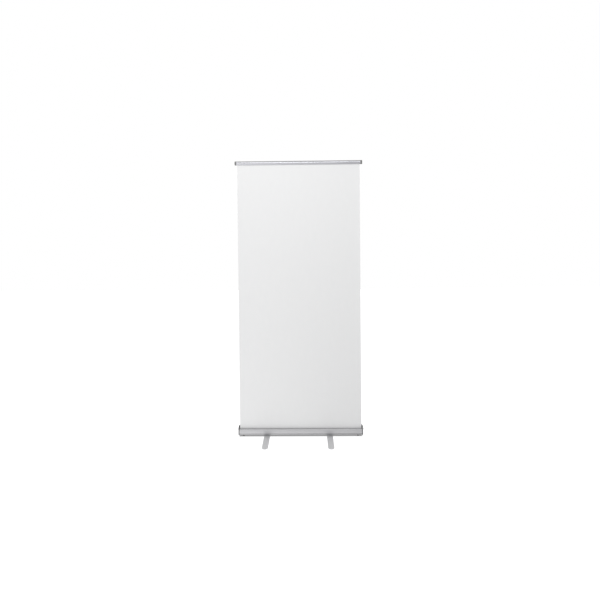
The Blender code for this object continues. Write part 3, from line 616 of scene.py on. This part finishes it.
def pile_tree():
    """Geometry nodes for a row of short fibres along a strip, each leaning a little at random."""
    tree = bpy.data.node_groups.new("pile_row", "GeometryNodeTree")
    for label, kind in (("Strip", "NodeSocketGeometry"), ("Fibre length", "NodeSocketFloat"),
                        ("Fibre radius", "NodeSocketFloat"), ("Lean", "NodeSocketFloat"),
                        ("Seed", "NodeSocketInt"), ("Finish", "NodeSocketMaterial")):
        tree.interface.new_socket(label, in_out="INPUT", socket_type=kind)
    tree.interface.new_socket("Geometry", in_out="OUTPUT", socket_type="NodeSocketGeometry")
    given = tree.nodes.new("NodeGroupInput")
    out = tree.nodes.new("NodeGroupOutput")
    fibre = tree.nodes.new("GeometryNodeMeshCone")
    fibre.inputs["Vertices"].default_value = 4
    fibre.inputs["Radius Top"].default_value = 0.00004
    angles = tree.nodes.new("GeometryNodeInputNamedAttribute")
    angles.data_type = "FLOAT_VECTOR"
    angles.inputs["Name"].default_value = "turn"
    chance = tree.nodes.new("FunctionNodeRandomValue")
    chance.data_type = "FLOAT_VECTOR"
    low = tree.nodes.new("ShaderNodeMath")
    low.operation = "MULTIPLY"
    low.inputs[1].default_value = -1.0
    add = tree.nodes.new("ShaderNodeVectorMath")
    add.operation = "ADD"
    turn = tree.nodes.new("FunctionNodeEulerToRotation")
    put = tree.nodes.new("GeometryNodeInstanceOnPoints")
    real = tree.nodes.new("GeometryNodeRealizeInstances")
    paint = tree.nodes.new("GeometryNodeSetMaterial")
    link = tree.links.new
    link(given.outputs["Strip"], put.inputs["Points"])
    link(given.outputs["Fibre length"], fibre.inputs["Depth"])
    link(given.outputs["Fibre radius"], fibre.inputs["Radius Bottom"])
    link(fibre.outputs["Mesh"], put.inputs["Instance"])
    link(given.outputs["Lean"], low.inputs[0])
    link(low.outputs[0], chance.inputs["Min"])
    link(given.outputs["Lean"], chance.inputs["Max"])
    link(given.outputs["Seed"], chance.inputs["Seed"])
    link(angles.outputs["Attribute"], add.inputs[0])
    link(chance.outputs["Value"], add.inputs[1])
    link(add.outputs["Vector"], turn.inputs[0])
    link(turn.outputs[0], put.inputs["Rotation"])
    link(put.outputs["Instances"], real.inputs[0])
    link(real.outputs[0], paint.inputs["Geometry"])
    link(given.outputs["Finish"], paint.inputs["Material"])
    link(paint.outputs["Geometry"], out.inputs["Geometry"])
    return tree


PILE = pile_tree()
for sign, word, top in ((-1, "front", LIP_TOP), (1, "rear", BASE_TOP)):
    wear(node["slot_felt_" + word], pile_finish)
    spots = []
    for k in range(PILE_COLUMNS):
        x = -PILE_HALF + 2 * PILE_HALF * k / (PILE_COLUMNS - 1)
        for row in range(PILE_ROWS):
            lift = top - PILE_DROP + PILE_RISE * row / PILE_ROWS
            spots.append(((x + PILE_SHIFT * row, sign * PILE_Y, lift),
                          (-sign * PILE_TURN, 0, 0)))
    pile = run_tree(PILE, "slot_pile_" + word, points_mesh("pile_" + word, spots),
                    {"Fibre length": 0.0019, "Fibre radius": 0.00022, "Lean": 0.16, "Seed": 7,
                     "Finish": pile_finish})
    wear(pile, pile_finish)
    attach(pile, "base")

# ---------------------------------------------------------------- base pads
# Four ribbed black rubber studs under the corners keep the housing off the floor.

PAD_X = (-0.431, 0.431)
PAD_Y = (-0.0065, 0.042)

soft_rubber = moulding("black_rubber", (0.018, 0.018, 0.018), 0.85, 0.2, 0.5)
stud = [(0, 0.0), (0.0050, 0.0), (0.0062, 0.0006), (0.0062, 0.0014), (0.0075, 0.0019),
        (0.0075, 0.0034), (0.0070, 0.0038), (0.0075, 0.0042), (0.0075, 0.0060), (0.0068, 0.0072),
        (0, 0.0072)]
stud_part = pattern_part("pad_pattern", stud, soft_rubber, 32)
places = [((x, y, 0), (0, 0, 0)) for x in PAD_X for y in PAD_Y]
pads = copies("base_pads", stud_part, places, soft_rubber)
bpy.data.objects.remove(stud_part)
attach(pads, "base")
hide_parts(*["base_pad_%s_%s" % (a, b) for a in ("left", "right") for b in ("front", "rear")])

# ---------------------------------------------------------------- roller
# A steel tube turns on a pin at the left and on a fixed mandrel at the right. A torsion spring on
# the mandrel pulls the film in. Plugs and bush are natural nylon.

roller_steel = metal("roller_steel", LINES_ALONG_X, (0.50, 0.51, 0.53), 0.32, 0.2, 0.6)
oiled_spring = metal("oiled_spring_wire", LINES_ALONG_X, (0.16, 0.16, 0.17), 0.38, 0.3, 0.4)
nylon = moulding("natural_nylon", (0.72, 0.71, 0.67), 0.42, 0.1, 0.2)
for name, finish in (("roller_tube", roller_steel), ("idler_axle", zinc),
                     ("spring_mandrel", zinc), ("torsion_spring", oiled_spring),
                     ("roller_plug_idler", nylon), ("roller_plug_spring", nylon),
                     ("mandrel_bush", nylon)):
    wear(node[name], finish)

# ---------------------------------------------------------------- banner film
# A blank matt white polyester film. Its foot is wound on the roller and its head is gripped by the
# rail. Tension holds it flat, with a slight curl along its two free edges.

FILM_HALF = 0.459
FILM_LOW = 0.0315
FILM_HIGH = 2.052
SLOT_CLEAR = 0.0606
JAW_LOW = 2.036
FILM_THICK = 0.0003


def make_film_finish():
    """Matt white print film: faint calender mottle, a soft sheen and slight unevenness."""
    finish, tree, shader = principled("blank_white_film")
    shader.inputs["IOR"].default_value = 1.46
    shader.inputs["Sheen Weight"].default_value = 0.08
    shader.inputs["Sheen Roughness"].default_value = 0.4
    shader.inputs["Coat Weight"].default_value = 0.0
    mottle = stretched_noise(tree, (30.0, 30.0, 14.0), 5.0, 0.6)
    grain = stretched_noise(tree, (1500.0, 1500.0, 1500.0), 2.0, 0.6)
    tone = blend_colours(tree, mottle, (0.805, 0.808, 0.812, 1), (0.835, 0.836, 0.838, 1))
    tree.links.new(tone, shader.inputs["Base Color"])
    matt = maths(tree, "ADD", maths(tree, "MULTIPLY", mottle, 0.12), 0.50)
    tree.links.new(matt, shader.inputs["Roughness"])
    relief = tree.nodes.new("ShaderNodeBump")
    relief.inputs["Strength"].default_value = 0.15
    relief.inputs["Distance"].default_value = 0.00005
    tree.links.new(grain, relief.inputs["Height"])
    tree.links.new(relief.outputs["Normal"], shader.inputs["Normal"])
    return finish


def film_bow(x, z):
    """How far the film stands behind its own plane, or in front of it when under nothing."""
    share = (z - SLOT_CLEAR) / (JAW_LOW - SLOT_CLEAR)
    if share <= 0 or share >= 1:
        return 0.0
    free = math.sin(math.pi * share)
    edge = min(abs(x) / FILM_HALF, 1.0)
    curl = -0.0024 * edge ** 14 * min(1.0, 3.2 * free)
    belly = 0.0008 * (1 - edge ** 2) * free
    ripple = 0.00035 * math.sin(9.0 * x + 2.1 * math.sin(3.0 * z)) * free * edge
    return belly + curl + ripple


film_white = make_film_finish()
film_data = bmesh.new()
columns = [FILM_HALF * math.sin(0.5 * math.pi * k / 60) for k in range(-60, 61)]
heights = [FILM_LOW, 0.045, 0.053, 0.0575] + [SLOT_CLEAR + (JAW_LOW - SLOT_CLEAR) * k / 120
                                            for k in range(121)] + [2.040, 2.045, FILM_HIGH]
sheets = []
for offset in (-FILM_THICK / 2, FILM_THICK / 2):
    sheets.append([[film_data.verts.new((x, film_bow(x, z) + offset, z)) for x in columns]
                   for z in heights])
for r in range(len(heights) - 1):
    for c in range(len(columns) - 1):
        for k, grid in enumerate(sheets):
            quad = (grid[r][c], grid[r][c + 1], grid[r + 1][c + 1], grid[r + 1][c])
            film_data.faces.new(quad if k == 0 else reversed(quad))
rim = [(r, 0) for r in range(len(heights))]
rim += [(len(heights) - 1, c) for c in range(1, len(columns))]
rim += [(r, len(columns) - 1) for r in range(len(heights) - 2, -1, -1)]
rim += [(0, c) for c in range(len(columns) - 2, 0, -1)]
for (r, c), (s, d) in zip(rim, rim[1:] + rim[:1]):
    film_data.faces.new((sheets[0][r][c], sheets[0][s][d], sheets[1][s][d], sheets[1][r][c]))
film = add_piece("banner_sheet", film_data, film_white, 40)
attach(film, "base")
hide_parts("banner_film")
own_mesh(film)

# ---------------------------------------------------------------- wound film
# The rest of the film is wound on the roller, turn on turn, with its layers showing at the ends.

wound_low, wound_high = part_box("film_wound")
wound_half = wound_high.x
wound_r = (wound_high.z - wound_low.z) / 2
WOUND_BORE = 0.0128
wound_data = bmesh.new()
end_face = []
turns = 6
for k in range(turns):
    inner_r = WOUND_BORE + (wound_r - WOUND_BORE) * k / turns
    outer_r = WOUND_BORE + (wound_r - WOUND_BORE) * (k + 1) / turns
    end_face += [(inner_r, -wound_half + 0.0004), (inner_r + 0.0001, -wound_half),
                 (outer_r - 0.0001, -wound_half)]
outline = end_face + [(wound_r, -wound_half + 0.0004)]
outline += [(r, -h) for r, h in reversed(outline)]
turned_mesh(wound_data, outline, (0, ROLLER_Y, ROLLER_Z), "X", 72)
wound = add_piece("film_turns", wound_data, film_white, 40)
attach(wound, "roller")
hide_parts("film_wound")

# ---------------------------------------------------------------- feet
# Two flat steel bars with rounded ends, lacquered silver, swing out under the front. Each turns on
# a rivet through a nylon washer, rests against a stop and has a thin rubber pad under its tip.

FOOT_HALF = 0.0225
FOOT_LOW = 0.0023
FOOT_TOP = 0.0063
FOOT_TIP_Y = -0.2105
FOOT_HOLE_Z = (0.001, 0.008)
END_STEPS = 32

silver_lacquer = metal("silver_lacquered_bar", LINES_ALONG_X, (0.69, 0.692, 0.70), 0.42, 0.06, 0.25,
                       0.2, 0.45)


def foot_bar(foot_x):
    """A flat bar with two round ends. Its rivet hole is cut afterwards."""
    outline = []
    for k in range(END_STEPS + 1):
        a = math.pi * k / END_STEPS
        outline.append((foot_x + FOOT_HALF * math.cos(a), FOOT_HALF * math.sin(a)))
    for k in range(END_STEPS + 1):
        a = math.pi + math.pi * k / END_STEPS
        outline.append((foot_x + FOOT_HALF * math.cos(a), FOOT_TIP_Y + FOOT_HALF * math.sin(a)))
    data = bmesh.new()
    extrude(data, outline, (FOOT_LOW, FOOT_TOP), "Z")
    return data


tip_pad = [(0, 0), (0.0140, 0), (0.0150, 0.0007), (0.0150, 0.0016), (0.0146, 0.0020), (0, 0.0020)]
rivet = [(0, 0.0007), (0.0050, 0.0007), (0.0070, 0.0010), (0.0080, 0.0016), (0.0080, 0.0020),
         (0.0040, 0.0020), (0.0040, 0.0094), (0.0070, 0.0094), (0.0060, 0.0110), (0, 0.0110)]
for word, foot_x in FOOT_X.items():
    body = "foot_" + word
    foot = add_piece("swing_foot_" + word, foot_bar(foot_x), silver_lacquer)
    hole = bmesh.new()
    drill(hole, RIVET_HOLE_R, FOOT_HOLE_Z, (foot_x, 0, 0), 40)
    cut_with(foot, hole, "rivet_hole")
    round_edges(foot, 0.0007, 3, 40)
    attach(foot, body)
    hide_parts("foot_" + word)
    pad_data = bmesh.new()
    turned_mesh(pad_data, tip_pad, (foot_x, FOOT_TIP_Y, 0))
    pad = add_piece("tip_pad_" + word, pad_data, soft_rubber)
    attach(pad, body)
    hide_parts("foot_tip_pad_" + word)
    rivet_data = bmesh.new()
    turned_mesh(rivet_data, rivet, (foot_x, 0, 0))
    pin = add_piece("swing_rivet_" + word, rivet_data, zinc)
    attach(pin, "base")
    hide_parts("foot_rivet_" + word)
    carry_over("foot_washer_" + word, "base", nylon)
    carry_over("foot_stop_" + word, "base", zinc, 30, 0.0003)

# ---------------------------------------------------------------- pole
# Three drawn aluminium tubes slide in each other and stand in a moulded socket in the housing. A
# nylon clutch is pressed on the foot of each sliding tube.

TUBE_WALL = 0.001
TUBE_CHAMFER = 0.0003
TUBE_R = {"lower": 0.0110, "middle": 0.0095, "upper": 0.0080}

drawn_tube = metal("drawn_anodised_tube", LINES_ALONG_Z, (0.56, 0.56, 0.57), 0.36, 0.16)
black_plastic = moulding("black_moulding", (0.02, 0.02, 0.021), 0.42)
grey_plastic = moulding("grey_moulding", (0.19, 0.19, 0.188), 0.46)
tube_tops = {}
for word, body in (("lower", "base"), ("middle", "pole_middle"), ("upper", "rail")):
    radius = TUBE_R[word]
    tube_low, tube_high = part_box("pole_" + word + "_tube")
    low_z, high_z = tube_low.z, tube_high.z
    tube_tops[word] = high_z
    bore, cut = radius - TUBE_WALL, TUBE_CHAMFER
    outline = [(bore, low_z + cut), (bore + cut, low_z), (radius - cut, low_z),
               (radius, low_z + cut), (radius, high_z - cut), (radius - cut, high_z),
               (bore + cut, high_z), (bore, high_z - cut)]
    tube_data = bmesh.new()
    turned_mesh(tube_data, outline, (0, POLE_Y, 0), "Z", 72)
    tube = add_piece("drawn_tube_" + word, tube_data, drawn_tube)
    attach(tube, body)
    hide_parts("pole_" + word + "_tube")
carry_over("pole_socket", "base", black_plastic, 30, 0.0003)
carry_over("pole_foot_plug", "base", black_plastic, 30)
carry_over("pole_middle_clutch", "pole_middle", nylon, 30)
carry_over("pole_upper_clutch", "rail", nylon, 30)

# ---------------------------------------------------------------- pole collars
# A black moulded ring is pressed on each tube's end. Above it a grey twist nut, with grip ribs all
# round and a tapered nose, squeezes the next tube.

RIB_R = 0.0009
RIB_COUNT = 14
COLLAR_GAP = 0.0003
COLLAR_WALL = 0.003

for word, body, nut_body, held_tube, next_tube in (
        ("lower", "base", "collar_lower", "lower", "middle"),
        ("upper", "pole_middle", "collar_upper", "middle", "upper")):
    radius, inner_tube = TUBE_R[held_tube], TUBE_R[next_tube]
    ring_low, ring_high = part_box("collar_" + word + "_ring")
    nut_low, nut_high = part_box("collar_" + word + "_nut")
    bore = radius + COLLAR_GAP
    rim = radius + COLLAR_WALL
    ring = [(bore, ring_low.z), (rim - 0.0012, ring_low.z), (rim - 0.0004, ring_low.z + 0.0007),
            (rim, ring_low.z + 0.002), (rim, ring_high.z - 0.0062),
            (rim - 0.0007, ring_high.z - 0.0058), (rim - 0.0007, ring_high.z - 0.0050),
            (rim, ring_high.z - 0.0046),
            (rim, ring_high.z - 0.0004), (rim - 0.0004, ring_high.z), (bore, ring_high.z)]
    ring_data = bmesh.new()
    turned_mesh(ring_data, ring, (0, POLE_Y, 0), "Z", 64)
    clamp_ring = add_piece("clamp_ring_" + word, ring_data, black_plastic)
    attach(clamp_ring, body)
    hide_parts("collar_" + word + "_ring")
    low_z, high_z = nut_low.z, nut_high.z
    step = tube_tops[held_tube] + COLLAR_GAP
    nut = [(bore, low_z), (rim - 0.0005, low_z), (rim, low_z + 0.0005), (rim, high_z - 0.0088),
           (rim - 0.0002, high_z - 0.0080), (inner_tube + 0.0034, high_z - 0.0008),
           (inner_tube + 0.0028, high_z), (inner_tube + 0.0006, high_z),
           (inner_tube + 0.0003, high_z - 0.0004), (inner_tube + 0.0003, step), (bore, step)]
    nut_data = bmesh.new()
    turned_mesh(nut_data, nut, (0, POLE_Y, 0), "Z", 64)
    twist_nut = add_piece("twist_nut_" + word, nut_data, grey_plastic)
    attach(twist_nut, nut_body)
    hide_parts("collar_" + word + "_nut")
    rib_low, rib_high = low_z + 0.003, high_z - 0.011
    rib = [(0, rib_low), (RIB_R * 0.6, rib_low + 0.0002), (RIB_R, rib_low + 0.0010),
           (RIB_R, rib_high - 0.0010), (RIB_R * 0.6, rib_high - 0.0002), (0, rib_high)]
    rib_part = pattern_part("rib_pattern", rib, grey_plastic, 12)
    spots = []
    for k in range(RIB_COUNT):
        a = 2 * math.pi * k / RIB_COUNT
        spots.append(((rim * math.cos(a), POLE_Y + rim * math.sin(a), 0), (0, 0, a)))
    ribs = copies("grip_ribs_" + word, rib_part, spots, grey_plastic)
    bpy.data.objects.remove(rib_part)
    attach(ribs, nut_body)

# ---------------------------------------------------------------- rail hook
# The hook is one black moulding pressed in the top tube. Its finger stands in the rail's channel.

carry_over("pole_hook", "rail", black_plastic, 30, 0.0005)

# ---------------------------------------------------------------- top rail
# The rail is an aluminium snap profile in two jaws. White grip strips in the jaws hold the film.

bright_profile = metal("bright_snap_profile", LINES_ALONG_X, (0.55, 0.552, 0.583), 0.28, 0.10)
white_grip = moulding("white_grip_strip", (0.70, 0.70, 0.69), 0.5, 0.06, 0.2)
carry_over("rail_back", "rail", satin_silver, 25)
carry_over("rail_front", "rail_jaw", bright_profile, 25)
carry_over("rail_grip_back", "rail", white_grip, 30, 0.0003)
carry_over("rail_grip_front", "rail_jaw", white_grip, 30, 0.0003)

# ---------------------------------------------------------------- rail end caps
# Grey moulded caps close the rail's ends. A countersunk screw holds each in a shallow dish.

for side, word in ((-1, "left"), (1, "right")):
    carry_over("rail_cap_" + word, "rail", grey_plastic, 28)
    screw_low, screw_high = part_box("rail_cap_screw_" + word)
    seat = screw_low.x if side < 0 else screw_high.x
    head = [(0, 0), (0.0029, 0), (0.0035, -0.0005), (0.0036, -0.0011), (0.0016, -0.0012),
            (0.0016, -0.0055), (0, -0.0060)]
    screw = cross_recess(pattern_part("cap_screw_pattern", head, zinc, 32), 0.0008, 0.0017, 0.0)
    screw_y, screw_z = (screw_low.y + screw_high.y) / 2, (screw_low.z + screw_high.z) / 2
    spots = [((seat, screw_y, screw_z), (0, side * math.pi / 2, 0))]
    cap_screw = copies("cap_screw_" + word, screw, spots, zinc)
    bpy.data.objects.remove(screw)
    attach(cap_screw, "rail")
    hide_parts("rail_cap_screw_" + word)

# ---------------------------------------------------------------- white table, lights and camera
# A flat white table under the stand glows softly. Its glow is dimmed under the base as a painted
# shadow of the stand, and is painted brighter at the left, though camera rays see it even.
# A white surround and one soft lamp above the front light the stand.

FOCAL = 440.0
PICTURE = 600.0
SENSOR = 36.0
CAMERA_AT = Vector((0.0531, -3.3095, 1.5062))
YAW, PITCH, ROLL, RISE = -0.0137, -0.0134, 0.0091, 58.17
forward = Vector((math.cos(PITCH) * math.sin(YAW), math.cos(PITCH) * math.cos(YAW),
                  math.sin(PITCH)))
right = Vector((math.cos(YAW), -math.sin(YAW), 0))
up = right.cross(forward)
rolled_right = math.cos(ROLL) * right - math.sin(ROLL) * up
rolled_up = math.sin(ROLL) * right + math.cos(ROLL) * up
camera_data = bpy.data.cameras.new("camera")
camera_data.sensor_width = SENSOR
camera_data.lens = FOCAL / PICTURE * SENSOR
camera_data.shift_y = -RISE / PICTURE
camera_data.clip_start = 0.05
camera = bpy.data.objects.new("camera", camera_data)
bpy.context.scene.collection.objects.link(camera)
matrix = camera.matrix_world.copy()
for column, axis in enumerate((rolled_right, rolled_up, -forward, CAMERA_AT)):
    for line in range(3):
        matrix[line][column] = axis[line]
camera.matrix_world = matrix
bpy.context.scene.camera = camera

SKY_LEVEL = 0.82
SKY_LEFT_LIFT = 0.10
FLOOR_TONE = 0.5
FLOOR_GLOW = 0.60
FLOOR_GLOW_FALL = 0.30
FLOOR_SEEN_LIFT = 0.25
STAND_SHADE = 0.76
SHADE_HALF = 0.462
SHADE_FRONT = -0.0245
SHADE_REAR = 0.050
SHADE_FADE = 0.008
LAMP_AT = (-0.35, -2.3, 3.1)
LAMP_AIM = (0.0, 0.0, 1.5)
LAMP_WATTS = 24.0
LAMP_SIZE = (2.4, 0.9)
FLOOR_HALF = 9

world = bpy.data.worlds.new("white_surround")
world.use_nodes = True
sky = world.node_tree
backdrop = sky.nodes["Background"]
lamp_sky = sky.nodes.new("ShaderNodeBackground")
choose = sky.nodes.new("ShaderNodeMixShader")
ray = sky.nodes.new("ShaderNodeLightPath")
heading = sky.nodes.new("ShaderNodeTexCoord")
heading_parts = sky.nodes.new("ShaderNodeSeparateXYZ")
backdrop.inputs["Color"].default_value = (1, 1, 1, 1)
sky.links.new(heading.outputs["Generated"], heading_parts.inputs[0])
lift = maths(sky, "MULTIPLY", heading_parts.outputs["X"], -SKY_LEFT_LIFT)
sky.links.new(maths(sky, "ADD", lift, SKY_LEVEL), lamp_sky.inputs["Strength"])
sky.links.new(ray.outputs["Is Camera Ray"], choose.inputs["Fac"])
sky.links.new(lamp_sky.outputs[0], choose.inputs[1])
sky.links.new(backdrop.outputs[0], choose.inputs[2])
sky.links.new(choose.outputs[0], sky.nodes["World Output"].inputs["Surface"])
bpy.context.scene.world = world
bpy.context.scene.view_settings.view_transform = "Standard"

lamp_data = bpy.data.lights.new("soft_lamp", "AREA")
lamp_data.shape = "RECTANGLE"
lamp_data.size, lamp_data.size_y = LAMP_SIZE
lamp_data.energy = LAMP_WATTS
lamp = bpy.data.objects.new("soft_lamp", lamp_data)
bpy.context.scene.collection.objects.link(lamp)
lamp.location = LAMP_AT
lamp.rotation_euler = (Vector(LAMP_AIM) - Vector(LAMP_AT)).to_track_quat("-Z", "Y").to_euler()

floor_data = bpy.data.meshes.new("floor")
floor_corners = ((-1, -1), (1, -1), (1, 1), (-1, 1))
floor_data.from_pydata([(FLOOR_HALF * a, FLOOR_HALF * b, 0) for a, b in floor_corners], [],
                       [(0, 1, 2, 3)])
floor = bpy.data.objects.new("floor", floor_data)
bpy.context.scene.collection.objects.link(floor)
floor_paint, floor_tree, floor_shader = principled("white_table")
floor_shader.inputs["Base Color"].default_value = (FLOOR_TONE, FLOOR_TONE, FLOOR_TONE, 1)
floor_shader.inputs["Roughness"].default_value = 0.9
floor_shader.inputs["Emission Color"].default_value = (1, 1, 1, 1)
spot = floor_tree.nodes.new("ShaderNodeTexCoord")
spot_parts = floor_tree.nodes.new("ShaderNodeSeparateXYZ")
floor_tree.links.new(spot.outputs["Object"], spot_parts.inputs[0])
across, along = spot_parts.outputs["X"], spot_parts.outputs["Y"]
shade_middle = (SHADE_FRONT + SHADE_REAR) / 2
shade_half_depth = (SHADE_REAR - SHADE_FRONT) / 2


def within(distance, reach):
    """One within a distance of the stand's middle, nothing beyond, with a soft edge."""
    over = maths(floor_tree, "DIVIDE", maths(floor_tree, "SUBTRACT", reach, distance), SHADE_FADE)
    share = maths(floor_tree, "ADD", over, 0.5)
    return maths(floor_tree, "MAXIMUM", maths(floor_tree, "MINIMUM", share, 1.0), 0.0)


# Painted shadow of the stand: the table's glow is dimmed inside the base's footprint, soft at its
# edge.
in_width = within(maths(floor_tree, "ABSOLUTE", across, 0.0), SHADE_HALF)
from_middle = maths(floor_tree, "SUBTRACT", along, shade_middle)
in_depth = within(maths(floor_tree, "ABSOLUTE", from_middle, 0.0), shade_half_depth)
shade = maths(floor_tree, "MULTIPLY", in_width, in_depth)
open_share = maths(floor_tree, "SUBTRACT", 1.0, maths(floor_tree, "MULTIPLY", shade, STAND_SHADE))
# Painted light: the table's glow falls off from left to right; camera rays get that fall back, plus
# a lift, so the table is seen evenly white.
near_side = maths(floor_tree, "MAXIMUM", maths(floor_tree, "MINIMUM", across, 1.0), -1.0)
glow_side_tilt = maths(floor_tree, "MULTIPLY", near_side, FLOOR_GLOW_FALL)
glow = maths(floor_tree, "MULTIPLY", maths(floor_tree, "SUBTRACT", FLOOR_GLOW, glow_side_tilt),
             open_share)
seen = floor_tree.nodes.new("ShaderNodeLightPath")
lift_seen = maths(floor_tree, "MULTIPLY", seen.outputs["Is Camera Ray"],
                  maths(floor_tree, "ADD", glow_side_tilt, FLOOR_SEEN_LIFT))
glow = maths(floor_tree, "ADD", glow, maths(floor_tree, "MULTIPLY", lift_seen, open_share))
floor_tree.links.new(glow, floor_shader.inputs["Emission Strength"])
wear(floor, floor_paint)
